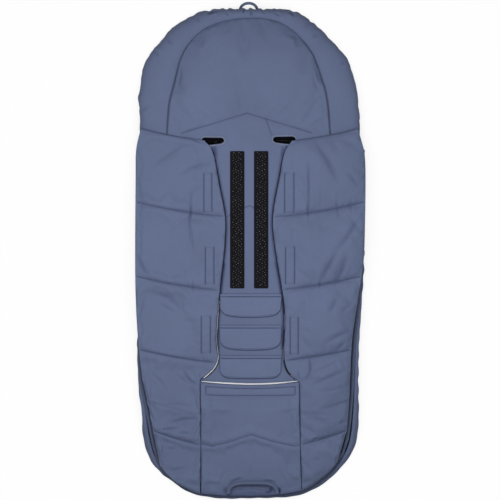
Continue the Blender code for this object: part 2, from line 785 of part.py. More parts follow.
def flat_pieces():
    for side, at in STRIPS.items():
        loop = rounded(spot(at), (STRIP_WIDTH, STRIP_LENGTH), 0.002, 2)
        plate(f"grip_strip_{side}", [loop], BACK_TOP + FIT, BACK_TOP + FIT + STRIP_THICKNESS, "grip_rubber")
    for side, at in SHOULDER_SLOTS.items():
        ring(f"shoulder_slot_binding_{side}", spot(at), SLOT_SIZE)
    for name, (top, foot) in FLAPS.items():
        middle = spot((0.008, top - 0.022))
        ring(f"crotch_slot_binding_{name}", middle, CROTCH_SLOT_SIZE)
        height = (top - foot) * LENGTH
        centre = spot((0.008, (top + foot) / 2))
        loop = rounded(centre, (FLAP_WIDTH, height), 0.0015, 1)[:4] + [
            p for p in rounded(centre, (FLAP_WIDTH, height), FLAP_CORNER, 4)[10:]
        ]
        low = BACK_TOP + BINDING_THICKNESS + 2 * FIT
        origin = Vector((centre.x, centre.y + height / 2, low + FLAP_THICKNESS))
        plate(f"crotch_flap_{name}", [loop], low, low + FLAP_THICKNESS, "shell_fabric", origin=origin)
    for side, places in PATCHES.items():
        for name, at in places.items():
            loop = rounded(spot(at), PATCH_SIZE, 0.002, 2)
            low = BACK_TOP + FIT
            plate(f"loop_patch_{side}_{name}", [loop], low, low + PATCH_THICKNESS, "hook_and_loop")
            high = WING_BASE - FIT
            origin, _ = fold_axis(side)
            patch = f"hook_patch_{side}_{name}"
            plate(patch, [loop], high - PATCH_THICKNESS, high, "hook_and_loop", origin=origin)
    loop = rounded(spot(POCKET_PATCH), POCKET_PATCH_SIZE, 0.002, 2)
    plate("pocket_loop_patch", [loop], BACK_TOP + FIT, BACK_TOP + FIT + PATCH_THICKNESS, "hook_and_loop")
    high = WING_BASE - FIT
    plate("pocket_hook_patch", [loop], high - PATCH_THICKNESS, high, "hook_and_loop")


def ring(name, centre, size):
    grown = (size[0] + 2 * BINDING_WIDTH, size[1] + 2 * BINDING_WIDTH)
    outer = rounded(centre, grown, grown[1] / 2 - 0.0005, 4)
    inner = rounded(centre, size, size[1] / 2 - 0.0005, 4)
    plate(name, [outer, inner], BACK_TOP + FIT, BACK_TOP + FIT + BINDING_THICKNESS, "binding_tape")


def slot_cutters():
    made = []
    spots = [(f"slot_{side}", spot(at), SLOT_SIZE) for side, at in SHOULDER_SLOTS.items()]
    for name, (top, _) in FLAPS.items():
        spots.append((f"slot_{name}", spot((0.008, top - 0.022)), CROTCH_SLOT_SIZE))
    for name, centre, size in spots:
        loop = rounded(centre, size, size[1] / 2 - 0.0005, 4)
        made.append(plate(name, [loop], BACK_BASE - 0.02, BACK_TOP + 0.02, "metal", where="cutters"))
    return made


def lining_loops():
    outline = back_outline(BACK_INSET + 0.004)
    arc = [hood_seam.read(1 - (0.09 + 0.82 * k / 20)) for k in range(21)]
    middle = spot((0, 0.75))
    outline += [p + (middle - p).normalized() * 0.004 for p in arc]
    holes = [rounded(spot(at), SLOT_SIZE, SLOT_SIZE[1] / 2 - 0.0005, 4) for at in SHOULDER_SLOTS.values()]
    for top, _ in FLAPS.values():
        middle = spot((0.008, top - 0.022))
        holes.append(rounded(middle, CROTCH_SLOT_SIZE, CROTCH_SLOT_SIZE[1] / 2 - 0.0005, 4))
    return [outline] + holes


def pipings():
    for side, (_, _, free, _, sign, _) in SIDES.items():
        origin, _ = fold_axis(side)
        loops = []
        for k in range(15):
            f = blend(0.66, 0.985, k / 14)
            out = free.side(f) * -sign
            inward = out if out.x * sign < 0 else -out
            centre = raised(free.read(f) + inward * (WING_PIPING_RADIUS + FIT), WING_BASE + WING_PAD / 2)
            loops.append(round_loop(centre, inward.to_3d(), Vector((0, 0, 1)), WING_PIPING_RADIUS))
        sweep(f"wing_piping_{side}", loops, "reflective_piping", origin=origin)
    top = Line(POCKET_TOP)
    loops = []
    for k in range(19):
        f = blend(0.015, 0.985, k / 18)
        centre = raised(top.read(f) + Vector((0, PIPING_RADIUS + 0.0003)), WING_BASE + WING_PAD / 2)
        loops.append(round_loop(centre, Vector((0, 1, 0)), Vector((0, 0, 1)), PIPING_RADIUS, 8))
    sweep("pocket_piping", loops, "reflective_piping")


def foot_binding():
    loops = []
    for k in range(9):
        f = blend(ZIP_END_LEFT + 0.004, ZIP_END_RIGHT - 0.004, k / 8)
        centre, _, out, _, _ = zip_frame(f)
        low, high = ZIP_Z - RIM_DROP - 0.0002, FOOT_HINGE_Z - 0.0004
        half = out * 0.0014
        inner = centre - out * 0.0028
        loops.append([raised(inner + half * a, z) for a, z in ((-1, low), (1, low), (1, high), (-1, high))])
    sweep("foot_binding", loops, "binding_tape")


def cuff_binding():
    loops = []
    for k in range(9):
        x = blend(-0.80, 0.80, k / 8) * WIDTH / 2
        y = spot((0, ZIP_LINE[0][1])).y + CUFF_RADIUS - 0.0030
        centre = Vector((x, y, COVER_PAD / 2))
        loops.append(round_loop(centre, Vector((0, 1, 0)), Vector((0, 0, 1)), CUFF_RADIUS, 8))
    sweep("cuff_binding", loops, "binding_tape")


def build():
    slab("front_cover", tray_grid(cover_inner), tray_grid(cover_outer), "shell_fabric")
    slab("front_lining", tray_grid(lining_inner), tray_grid(lining_outer), "lining_fleece")
    back = back_panel()
    for cutter in slot_cutters():
        cut(back, cutter)
    plate("back_lining", lining_loops(), BACK_LINING_Z, BACK_LINING_Z + LINING, "lining_fleece")
    hood_rim()
    hood_trim()
    for side in SIDES:
        side_panel(side)
        wing(side)
        zip_side(side)
        slider(side)
    pocket()
    flat_pieces()
    pipings()
    foot_binding()
    cuff_binding()
    edge = spot((-0.007, 1.0))
    loop = arch(Vector((edge.x, edge.y - 0.001)), HANG_LOOP_SIZE, HANG_LOOP_BAND)
    plate("hang_loop", [loop], 0.030, 0.030 + LOOP_THICKNESS, "webbing")
    foot = spot((0.028, 0.0095))
    low = FOLD_Z + 0.0005
    loop = arch(foot, FOOT_LOOP_SIZE, FOOT_LOOP_BAND, 14)
    origin = Vector((foot.x, foot.y, low))
    plate("foot_loop", [loop], low, low + LOOP_THICKNESS, "webbing", origin=origin)


def centre_on_origin():
    """Moves everything so that the middle of its box stands on the origin."""
    bpy.context.view_layer.update()
    graph = bpy.context.evaluated_depsgraph_get()
    corners = []
    for obj in bpy.data.collections[COLLECTIONS["parts"]].objects:
        seen = obj.evaluated_get(graph)
        corners += [obj.matrix_world @ v.co for v in seen.to_mesh().vertices]
        seen.to_mesh_clear()
    low = Vector(min(c[i] for c in corners) for i in range(3))
    high = Vector(max(c[i] for c in corners) for i in range(3))
    shift = Vector((-(low.x + high.x) / 2, -(low.y + high.y) / 2, -low.z))
    for obj in bpy.data.objects:
        obj.location += shift


for thing in list(bpy.data.objects):
    bpy.data.objects.remove(thing)
COLLECTIONS = {"parts": "stroller_footmuff", "cutters": "cutters"}
for title in COLLECTIONS.values():
    group = bpy.data.collections.new(title)
    bpy.context.scene.collection.children.link(group)
build()
centre_on_origin()
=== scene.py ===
"""The looks of a stroller footmuff that lies face down. Metres, +Y to the hood, +Z up."""

import math
from collections import namedtuple

import bmesh
import bpy
import numpy as np
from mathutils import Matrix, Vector, noise
from mathutils.bvhtree import BVHTree


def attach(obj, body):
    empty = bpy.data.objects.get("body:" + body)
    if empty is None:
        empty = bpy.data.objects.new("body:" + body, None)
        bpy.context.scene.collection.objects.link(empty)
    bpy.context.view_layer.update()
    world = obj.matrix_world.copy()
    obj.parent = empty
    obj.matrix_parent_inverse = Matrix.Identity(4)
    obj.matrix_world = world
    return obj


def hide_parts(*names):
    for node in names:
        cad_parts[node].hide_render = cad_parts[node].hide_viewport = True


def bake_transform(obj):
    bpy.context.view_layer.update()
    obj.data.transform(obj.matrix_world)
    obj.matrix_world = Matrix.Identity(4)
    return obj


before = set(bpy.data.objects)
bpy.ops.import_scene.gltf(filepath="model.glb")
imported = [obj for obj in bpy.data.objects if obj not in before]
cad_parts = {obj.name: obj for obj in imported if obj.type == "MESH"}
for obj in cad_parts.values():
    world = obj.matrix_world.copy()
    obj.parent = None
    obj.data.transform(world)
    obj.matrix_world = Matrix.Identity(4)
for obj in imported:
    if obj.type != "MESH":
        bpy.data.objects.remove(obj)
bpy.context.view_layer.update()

# Sizes shared with the part
WIDTH, LENGTH = 0.485, 1.027
SHIFT = (-0.00068, -0.00938)
COVER_PAD = 0.014
LINING = 0.003
BACK_LINING_Z = 0.0374
BACK_BASE = 0.0408
BACK_TOP = 0.0578
WING_BASE = 0.0617
WING_PAD = 0.005
FOLD_Z = 0.0667
ZIP_Z = 0.0475
FOOT_HINGE_Z = 0.0518
LINING_Z = 0.0144
EDGE_PAD = 0.007
COIL_RADIUS, COIL_STEP = 0.0015, 0.0022
RIM_DROP = 0.0097
WALL = 0.009
BACK_INSET = 0.017
RIM_CURL = 0.034

# How far a piece stands clear of the one it lies on, and the spacing of the quilted grid
CLEAR = 0.0006
CELL = 0.0052

# Places are (across, along): across is -1 to 1 over the width, and along 0 to 1 from the foot to the hood.
# The zip's line adds the gusset's bulge beside it and its lean in degrees.
ZIP_LINE = [
    (-0.952, 0.716, 0.005, 0), (-0.952, 0.55, 0.005, 0), (-0.952, 0.4, 0.0035, 0),
    (-0.952, 0.305, 0.0038, 25), (-0.929, 0.243, 0.0045, 50), (-0.874, 0.188, 0.014, 75),
    (-0.831, 0.131, 0.0235, 75), (-0.78, 0.078, 0.0185, 50), (-0.68, 0.039, 0.0025, 20),
    (-0.511, 0.013, 0.0045, 0), (-0.255, 0.005, 0.008, 0), (0.004, 0.004, 0.0065, 0),
    (0.221, 0.005, 0.0065, 0), (0.42, 0.013, 0.01, 10), (0.61, 0.038, 0.0135, 40),
    (0.754, 0.078, 0.0195, 60), (0.821, 0.115, 0.0255, 75), (0.853, 0.17, 0.0235, 75),
    (0.874, 0.241, 0.017, 75), (0.89, 0.313, 0.013, 60), (0.931, 0.389, 0.007, 35),
    (0.97, 0.466, 0.005, 10), (0.974, 0.56, 0.005, 0), (0.974, 0.64, 0.005, 0),
    (0.974, 0.716, 0.005, 0),
]

# Where the zip's line turns to the foot, and where each zip ends, as fractions of the line
CORNER_LEFT, CORNER_RIGHT = 0.395, 0.590
ZIP_END_LEFT, ZIP_END_RIGHT = 0.445, 0.545

# The hood's seam and edge, and each side's outer edge, foot, fold and free edge of its wing
HOOD_SEAM = [
    (-0.722, 0.724), (-0.714, 0.755), (-0.697, 0.804), (-0.654, 0.847), (-0.567, 0.912),
    (-0.368, 0.961), (-0.052, 0.98), (0.264, 0.971), (0.511, 0.92), (0.636, 0.851), (0.68, 0.804),
    (0.697, 0.755), (0.703, 0.724),
]
HOOD_EDGE = [
    (-0.952, 0.722), (-0.955, 0.765), (-0.965, 0.814), (-0.943, 0.858), (-0.921, 0.886),
    (-0.886, 0.904), (-0.834, 0.92), (-0.748, 0.94), (-0.65, 0.966), (-0.385, 0.998), (0.004, 1.0035),
    (0.394, 0.997), (0.546, 0.973), (0.634, 0.9565), (0.697, 0.94), (0.842, 0.903), (0.889, 0.881),
    (0.918, 0.855), (0.945, 0.814), (0.961, 0.765), (0.958, 0.722),
]
EDGE_LEFT = [
    (-0.939, 0.755), (-0.98, 0.712), (-0.985, 0.65), (-0.989, 0.479), (-0.98, 0.384), (-0.957, 0.305),
    (-0.927, 0.243), (-0.874, 0.188), (-0.833, 0.131), (-0.792, 0.08),
]
FOOT_LEFT = [(-0.772, 0.064), (-0.654, 0.0345), (-0.511, 0.015), (-0.424, 0.0085)]
EDGE_RIGHT = [
    (0.935, 0.757), (0.976, 0.724), (0.996, 0.703), (1.004, 0.661), (1.0, 0.569), (0.987, 0.483),
    (0.938, 0.405), (0.89, 0.323), (0.874, 0.252), (0.856, 0.17), (0.829, 0.115), (0.784, 0.084),
]
FOOT_RIGHT = [(0.761, 0.074), (0.672, 0.05), (0.5385, 0.0255), (0.452, 0.015)]
FOLD_LEFT = [(-0.844, 0.751), (-0.429, 0.239)]
FOLD_RIGHT = [(0.835, 0.748), (0.429, 0.239)]
WING_LEFT = [
    (-0.385, 0.729), (-0.316, 0.706), (-0.259, 0.638), (-0.21, 0.573), (-0.217, 0.509), (-0.259, 0.421),
    (-0.287, 0.331), (-0.275, 0.288), (-0.31, 0.266), (-0.4, 0.246),
]
WING_RIGHT = [
    (0.385, 0.736), (0.304, 0.706), (0.262, 0.658), (0.203, 0.577), (0.221, 0.513), (0.296, 0.405),
    (0.305, 0.351), (0.298, 0.298), (0.325, 0.264), (0.402, 0.242),
]

# Quilting, pocket, loop, strips, slots and flaps
QUILT_LEVELS = [0.755, 0.606, 0.454, 0.304, 0.139]
QUILT_DROOP = 0.034
POCKET_TOP = [(-0.424, 0.237), (-0.21, 0.2335), (0.004, 0.2315), (0.22, 0.233), (0.429, 0.238)]
POCKET_FOOT = [(-0.416, 0.0085), (-0.21, 0.0045), (0.004, 0.004), (0.23, 0.006), (0.448, 0.0145)]
FLAP_X = 0.008
FOOT_LOOP = (0.028, 0.0095)
STRIPS = {"left": (-0.106, 0.569), "right": (0.101, 0.569)}
STRIP_SIZE = (0.03, 0.288)
SHOULDER_SLOTS = {"left": (-0.319, 0.729), "right": (0.303, 0.731)}
SLOT_SIZE = (0.048, 0.017)
CROTCH_SLOT_SIZE = (0.06, 0.01)
FLAPS = {"upper": (0.412, 0.369), "middle": (0.348, 0.302), "lower": (0.286, 0.244)}
FLAP_WIDTH = 0.127

# Sewn lines
HOOD_CHEVRON = [(-0.585, 0.746), (-0.02, 0.787), (0.545, 0.746)]
HOOD_SHORT = [(0.143, 0.775), (0.195, 0.74)]
CENTRE_CHEVRON = [(-0.195, 0.575), (-0.004, 0.598), (0.169, 0.579)]
POCKET_CHEVRON = [
    (-0.42, 0.112), (-0.316, 0.107), (-0.152, 0.117), (0.013, 0.131), (0.195, 0.117), (0.394, 0.107),
    (0.44, 0.109),
]
PATCH_LINES = {
    "left": [
        ((-0.394, -0.325), (0.664, 0.585)),
        ((-0.381, -0.307), (0.513, 0.438)),
        ((-0.416, -0.338), (0.372, 0.297)),
    ],
    "right": [
        ((0.303, 0.383), (0.664, 0.583)),
        ((0.311, 0.389), (0.513, 0.438)),
        ((0.351, 0.42), (0.37, 0.295)),
    ],
}
POCKET_BOX = ((-0.377, 0.394), (0.2285, 0.2115))

# Creases in each padded piece: points, half width and depth, which also sets the painted shade in them
CREASES = {
    "left": [
        ([(-0.844, 0.6748), (-0.706, 0.6994), (-0.55, 0.7239)], 0.007, 0.0018),
        ([(-0.619, 0.6585), (-0.463, 0.6789), (-0.342, 0.683)], 0.006, 0.0018),
        ([(-0.515, 0.6339), (-0.508, 0.5951), (-0.511, 0.5767), (-0.52, 0.5644), (-0.503, 0.5194)],
         0.0034, 0.0026),
        ([(-0.509, 0.5971), (-0.51, 0.5828), (-0.519, 0.5685)], 0.0022, 0.004),
        ([(-0.5, 0.5521), (-0.496, 0.5072)], 0.004, 0.0016),
        ([(-0.493, 0.4479), (-0.489, 0.4192)], 0.0028, 0.002),
        ([(-0.502, 0.7333), (-0.403, 0.726)], 0.0022, 0.0024),
        ([(-0.97, 0.5031), (-0.931, 0.4785), (-0.87, 0.454)], 0.007, 0.0026),
        ([(-0.887, 0.4233), (-0.706, 0.411), (-0.567, 0.3824)], 0.0075, 0.0022),
        ([(-0.792, 0.3988), (-0.636, 0.3804)], 0.006, 0.0014),
        ([(-0.965, 0.6585), (-0.931, 0.6094), (-0.948, 0.5644)], 0.007, 0.0014),
        ([(-0.576, 0.2618), (-0.515, 0.2413), (-0.455, 0.2346)], 0.0034, 0.0034),
        ([(-0.43, 0.2577), (-0.427, 0.2434)], 0.0022, 0.0018),
        ([(-0.636, 0.2536), (-0.55, 0.2393), (-0.446, 0.229)], 0.0035, 0.0014),
        ([(-0.737, 0.1914), (-0.602, 0.1924), (-0.498, 0.1867)], 0.0035, 0.0012),
        ([(-0.698, 0.1538), (-0.564, 0.1613), (-0.437, 0.1622)], 0.0034, 0.003),
        ([(-0.775, 0.1391), (-0.706, 0.1419), (-0.61, 0.144)], 0.003, 0.0034),
        ([(-0.63, 0.1339), (-0.56, 0.1342), (-0.498, 0.1331)], 0.003, 0.0026),
        ([(-0.732, 0.1022), (-0.628, 0.101)], 0.0034, 0.002),
        ([(-0.688, 0.0573), (-0.545, 0.062)], 0.0034, 0.002),
        ([(-0.671, 0.0409), (-0.573, 0.0368)], 0.0034, 0.0016),
        ([(-0.861, 0.2577), (-0.775, 0.2413), (-0.723, 0.2209)], 0.004, 0.0012),
    ],
    "right": [
        ([(0.545, 0.7342), (0.675, 0.6871), (0.762, 0.6421)], 0.0085, 0.003),
        ([(0.509, 0.6912), (0.509, 0.6421), (0.506, 0.5767)], 0.0036, 0.003),
        ([(0.508, 0.6033), (0.506, 0.5726)], 0.0022, 0.003),
        ([(0.842, 0.6667), (0.942, 0.636)], 0.007, 0.0022),
        ([(0.749, 0.6094), (0.769, 0.5746)], 0.0036, 0.0018),
        ([(0.87, 0.6176), (0.879, 0.5746)], 0.004, 0.0014),
        ([(0.948, 0.5746), (0.842, 0.5337), (0.726, 0.5031)], 0.008, 0.0026),
        ([(0.758, 0.5072), (0.673, 0.4703), (0.616, 0.4417)], 0.007, 0.003),
        ([(0.613, 0.4479), (0.602, 0.4254)], 0.0026, 0.0026),
        ([(0.844, 0.499), (0.789, 0.4622), (0.721, 0.4315)], 0.008, 0.003),
        ([(0.759, 0.411), (0.682, 0.3783)], 0.007, 0.0024),
        ([(0.879, 0.3988), (0.797, 0.3804)], 0.005, 0.0016),
        ([(0.883, 0.3436), (0.759, 0.3321), (0.654, 0.317)], 0.006, 0.0026),
        ([(0.835, 0.3211), (0.74, 0.3006)], 0.005, 0.0022),
        ([(0.519, 0.2904), (0.52, 0.2597), (0.472, 0.2393)], 0.0028, 0.0034),
        ([(0.416, 0.2618), (0.423, 0.2434)], 0.0022, 0.0026),
        ([(0.84, 0.2638), (0.702, 0.2503), (0.515, 0.2311)], 0.005, 0.0028),
        ([(0.784, 0.2843), (0.654, 0.2699), (0.55, 0.2577)], 0.004, 0.0016),
        ([(0.827, 0.2311), (0.706, 0.2229), (0.593, 0.2188)], 0.0045, 0.0014),
        ([(0.472, 0.1718), (0.58, 0.1738), (0.714, 0.1718)], 0.0038, 0.0012),
        ([(0.753, 0.1513), (0.835, 0.1575)], 0.0036, 0.0016),
        ([(0.541, 0.1186), (0.593, 0.1237)], 0.003, 0.0018),
        ([(0.554, 0.0808), (0.606, 0.0787)], 0.0042, 0.0016),
    ],
    "pocket": [
        ([(-0.342, 0.2045), (-0.325, 0.18)], 0.004, 0.001),
        ([(0.351, 0.2065), (0.333, 0.1759)], 0.004, 0.001),
        ([(-0.186, 0.0613), (-0.238, 0.045), (-0.273, 0.0204)], 0.0034, 0.0012),
        ([(0.247, 0.0654), (0.299, 0.0409), (0.342, 0.0204)], 0.0034, 0.001),
        ([(0.004, 0.0654), (0.013, 0.0491)], 0.004, 0.001),
        ([(-0.177, 0.027), (-0.15, 0.0335), (-0.1, 0.0385), (-0.056, 0.0409)], 0.003, 0.003),
        ([(-0.1, 0.0225), (0.022, 0.0249), (0.143, 0.0213)], 0.002, 0.003),
        ([(-0.117, 0.016), (0.039, 0.018), (0.134, 0.0143)], 0.002, 0.003),
        ([(-0.065, 0.0102), (0.108, 0.0098)], 0.002, 0.0024),
        ([(0.108, 0.0348), (0.177, 0.0345), (0.229, 0.029)], 0.003, 0.0032),
    ],
    "rim": [
        ([(-0.368, 0.9888), (-0.325, 0.9939), (-0.273, 0.9959)], 0.003, 0.006),
        ([(-0.056, 0.9918), (-0.043, 1.0)], 0.0024, 0.005),
        ([(0.013, 0.998), (0.018, 0.9836)], 0.0024, 0.003),
        ([(0.221, 0.9918), (0.264, 0.9857)], 0.003, 0.003),
        ([(0.333, 0.9939), (0.359, 0.9918), (0.39, 0.9857)], 0.0026, 0.0055),
        ([(0.108, 0.9949), (0.143, 0.9898)], 0.0024, 0.0024),
        ([(-0.463, 0.9836), (-0.429, 0.9734)], 0.004, 0.0016),
        ([(-0.203, 0.9939), (-0.177, 0.9857)], 0.003, 0.0022),
        ([(-0.835, 0.9162), (-0.78, 0.902)], 0.005, 0.0018),
        ([(-0.723, 0.9407), (-0.671, 0.9284)], 0.005, 0.0016),
        ([(-0.948, 0.7894), (-0.87, 0.804)], 0.005, 0.0013),
        ([(0.593, 0.9509), (0.541, 0.9407)], 0.005, 0.0018),
        ([(0.827, 0.8957), (0.784, 0.8834)], 0.005, 0.0016),
    ],
}


# Painted shade of small folds: place, half size and darkness
FOLD_SHADOWS = {
    "pocket": [
        ((0.162, 0.012), (0.007, 0.0036), 1.0),
        ((0.183, 0.0165), (0.0036, 0.0064), 1.1),
        ((0.254, 0.015), (0.005, 0.0068), 1.3),
        ((-0.212, 0.0135), (0.004, 0.0085), 0.6),
        ((-0.15, 0.0085), (0.003, 0.003), 0.8),
    ],
    "back": [
        ((-0.303, 0.703), (0.006, 0.019), 0.95),
        ((0.292, 0.703), (0.0052, 0.017), 0.75),
    ],
}


# Places and lines


def y_of(level):
    """The place along the length of a level from 0 at the foot to 1 at the hood."""
    return (level - 0.5) * LENGTH + SHIFT[1]


def spot(point):
    """A plan point from its place across, -1 to 1, and its level."""
    return np.array((point[0] * WIDTH / 2 + SHIFT[0], y_of(point[1])))


def path_of(points):
    return np.array([spot(p) for p in points])


def join_z(plan, z):
    return np.concatenate([plan, np.broadcast_to(z, plan.shape[:-1])[..., None]], -1)


def wave(x, y=0.0):
    """Smooth noise from -1 to 1."""
    return noise.noise(Vector((x, y, 0.0)))


def peak(x, width):
    """1 where x is 0, falling smoothly to both sides."""
    return np.exp(-(x / width) ** 2)


def unit(v):
    return v / np.linalg.norm(v, axis=-1, keepdims=True)


def marks_of(points):
    """How far along a line of points each one is."""
    return np.concatenate([[0], np.cumsum(np.linalg.norm(np.diff(points, axis=0), axis=1))])


def sampled(points, marks, at):
    """The places of a line of points at some distances along it."""
    return np.stack([np.interp(at, marks, part) for part in points.T], -1)


def placed(name, data):
    obj = bpy.data.objects.new(name, data)
    bpy.context.scene.collection.objects.link(obj)
    return obj


def points_of(mesh):
    points = np.empty(len(mesh.vertices) * 3, np.float32)
    mesh.vertices.foreach_get("co", points)
    return points.reshape(-1, 3)


def mix(a, b, t):
    return a + (b - a) * t


def ease(value, low, high):
    t = np.clip((value - low) / (high - low), 0.0, 1.0)
    return t * t * (3 - 2 * t)


class Line:
    """A smooth line through points, read by its fraction from 0 to 1."""

    STEPS = 24

    def __init__(self, points):
        rows = np.array([(*spot(p), *p[2:]) for p in points], float)
        pad = np.vstack([rows[:1], rows, rows[-1:]])
        t = np.arange(self.STEPS)[:, None] / self.STEPS
        made = []
        for i in range(len(rows) - 1):
            p0, p1, p2, p3 = pad[i:i + 4]
            bend = (2 * p0 - 5 * p1 + 4 * p2 - p3) * t ** 2 + (3 * p1 - p0 - 3 * p2 + p3) * t ** 3
            made.append((2 * p1 + (p2 - p0) * t + bend) / 2)
        self.points = np.vstack(made + [rows[-1:]])
        self.marks = marks_of(self.points[:, :2])
        self.length = self.marks[-1]

    def at(self, fraction):
        return sampled(self.points, self.marks, np.clip(fraction, 0.0, 1.0) * self.length)

    def side(self, fraction):
        """The way square to the line, to its right."""
        ahead = (self.at(fraction + 0.004) - self.at(fraction - 0.004))[..., :2]
        return unit(np.stack([ahead[..., 1], -ahead[..., 0]], -1))

    def x_at(self, y):
        """Where the line crosses y, or its nearer end."""
        x, ys = self.points[:, 0], self.points[:, 1]
        for i in np.nonzero((ys[:-1] - y) * (ys[1:] - y) <= 0)[0]:
            if ys[i] != ys[i + 1]:
                return mix(x[i], x[i + 1], (y - ys[i]) / (ys[i + 1] - ys[i]))
        ends = sorted((0, -1), key=lambda i: ys[i])
        return x[ends[1]] if y > ys[ends[1]] else x[ends[0]]


zip_line, hood_seam, hood_edge = Line(ZIP_LINE), Line(HOOD_SEAM), Line(HOOD_EDGE)


# Materials


def nodes_of(name):
    made = bpy.data.materials.new(name)
    made.use_nodes = True
    tree = made.node_tree
    return made, tree, tree.nodes["Principled BSDF"]


def plug(tree, target, value):
    if isinstance(value, bpy.types.NodeSocket):
        tree.links.new(value, target)
    else:
        target.default_value = value


def feed(tree, node, **values):
    """Gives a node's inputs and settings, by name, their values or the sockets that drive them."""
    for key, value in values.items():
        name = key.replace("_", " ")
        if name in node.inputs:
            plug(tree, node.inputs[name], value)
        else:
            setattr(node, key, value)
    return node


def add(tree, kind, *firsts, **values):
    """A new shader node. The first inputs are given in order, and the rest by name."""
    node = feed(tree, tree.nodes.new(kind), **values)
    for target, value in zip(node.inputs, firsts):
        plug(tree, target, value)
    return node


def scaled(value, tint):
    return tuple(c * value for c in tint) + (1.0,)


def ramp_of(tree, source, colour, vary, ends=(0.0, 1.0)):
    """A colour that goes from darker to lighter by vary, as the source goes from one end to the other."""
    ramp = add(tree, "ShaderNodeValToRGB", Fac=source)
    for element, place, way in zip(ramp.color_ramp.elements, ends, (-1, 1)):
        element.position, element.color = place, scaled(1 + way * vary, colour)
    return ramp.outputs["Color"]


CREASED = ((70, 0.0009), (420, 0.00012))


def cloth(name, colour, rough=0.85, weave=0.0007, bumps=CREASED, sheen=0.05, seam=0.0):
    """Woven or brushed cloth: colour that varies softly, a weave, small creases at several scales, and
    painted shade where the mesh's seam layer is set, as dark as seam says.
    """
    made, tree, shader = nodes_of(name)
    place = add(tree, "ShaderNodeTexCoord").outputs["Object"]
    tone = add(tree, "ShaderNodeTexNoise", Vector=place, Scale=9.0, Detail=5.0, Roughness=0.6)
    fine = add(tree, "ShaderNodeTexNoise", Vector=place, Scale=900.0, Detail=2.0, Roughness=0.6)
    both = add(tree, "ShaderNodeMath", tone.outputs["Fac"], fine.outputs["Fac"], operation="ADD")
    half = add(tree, "ShaderNodeMath", both.outputs[0], 0.5, operation="MULTIPLY")
    out = ramp_of(tree, half.outputs[0], colour, 0.07, (0.35, 0.65))
    # The mesh's seam layer darkens the colour here: darker sewn lines, and painted shade along edges, in
    # creases and folds and under what lies on the cloth.
    if seam:
        mark = add(tree, "ShaderNodeAttribute", attribute_name="seam")
        less = add(tree, "ShaderNodeMath", mark.outputs["Fac"], 0.7, operation="MULTIPLY")
        painted_shade = (1 - seam, 1 - seam, 1 - seam * 0.8, 1)
        shade = add(tree, "ShaderNodeMix", data_type="RGBA", blend_type="MULTIPLY",
                    Factor=less.outputs[0], A=out, B=painted_shade)
        out = shade.outputs["Result"]
    feed(tree, shader, Base_Color=out, Roughness=rough, Specular_IOR_Level=0.15, Sheen_Weight=sheen,
         Sheen_Roughness=0.45)
    normal = None
    for scale, height in bumps:
        grain = add(tree, "ShaderNodeTexNoise", Vector=place, Scale=float(scale), Detail=4.0, Roughness=0.55)
        bump = add(tree, "ShaderNodeBump", Height=grain.outputs["Fac"], Distance=height, Strength=1.0)
        if normal:
            feed(tree, bump, Normal=normal)
        normal = bump.outputs["Normal"]
    if weave:
        for way in ("X", "Y"):
            yarn = add(tree, "ShaderNodeTexWave", bands_direction=way, Vector=place, Scale=0.314 / weave,
                       Distortion=1.2, Detail_Scale=3.0)
            bump = add(tree, "ShaderNodeBump", Height=yarn.outputs["Fac"], Normal=normal,
                       Distance=weave * 0.09, Strength=0.6)
            normal = bump.outputs["Normal"]
    feed(tree, shader, Normal=normal)
    return made


def solid(name, colour, rough, metallic=0.0, grain=500.0):
    """Moulded or painted stuff with a faint grain in its gloss and surface."""
    made, tree, shader = nodes_of(name)
    place = add(tree, "ShaderNodeTexCoord").outputs["Object"]
    spots = add(tree, "ShaderNodeTexNoise", Vector=place, Scale=grain, Detail=4.0).outputs["Fac"]
    gloss = add(tree, "ShaderNodeMapRange", Value=spots, To_Min=rough - 0.06, To_Max=rough + 0.06)
    bump = add(tree, "ShaderNodeBump", Height=spots, Distance=0.00008, Strength=0.7)
    feed(tree, shader, Base_Color=ramp_of(tree, spots, colour, 0.15), Roughness=gloss.outputs["Result"],
         Metallic=metallic, Normal=bump.outputs["Normal"])
    return made


BLUE = (0.136, 0.172, 0.290)
SEAM_AND_SHADE = 0.88
NYLON = dict(weave=0.0009, bumps=((300, 0.0001),))
# A cloth's seam value is how dark it gets where its seam layer is 1, mostly as painted shade.
CLOTHS = {
    "shell_fabric": dict(colour=BLUE, seam=SEAM_AND_SHADE),
    "flap_fabric": dict(colour=scaled(1.04, BLUE)[:3], seam=SEAM_AND_SHADE),
    "lining_fleece": dict(colour=(0.0085, 0.009, 0.012), rough=1.0, weave=0, sheen=0.03, seam=0.85,
                          bumps=((160, 0.0016), (900, 0.0007))),
    "webbing": dict(colour=(0.112, 0.140, 0.235), weave=0.0016, bumps=((300, 0.0002),), seam=SEAM_AND_SHADE),
    "grip_rubber": dict(colour=(0.0075, 0.007, 0.0095), rough=0.9, weave=0.0012, sheen=0.02,
                        bumps=((300, 0.0002),)),
    # A near-black cloth for the tape that paints the shadow beside the wings' edges.
    "zip_nylon": dict(colour=(0.016, 0.019, 0.034), rough=0.6, sheen=0.0, **NYLON),
    "zip_tape": dict(colour=(0.102, 0.129, 0.217), rough=0.8, **NYLON),
    "zip_coil": dict(colour=(0.080, 0.100, 0.170), rough=0.6, sheen=0.0, **NYLON),
    "binding_tape": dict(colour=(0.185, 0.215, 0.325), weave=0.0012, bumps=((260, 0.0003),)),
    "hook_and_loop": dict(colour=(0.05, 0.055, 0.07), weave=0, bumps=((1200, 0.0006), (500, 0.0004))),
    "elastic": dict(colour=(0.30, 0.30, 0.31), weave=0.0012, bumps=((500, 0.0002),)),
}
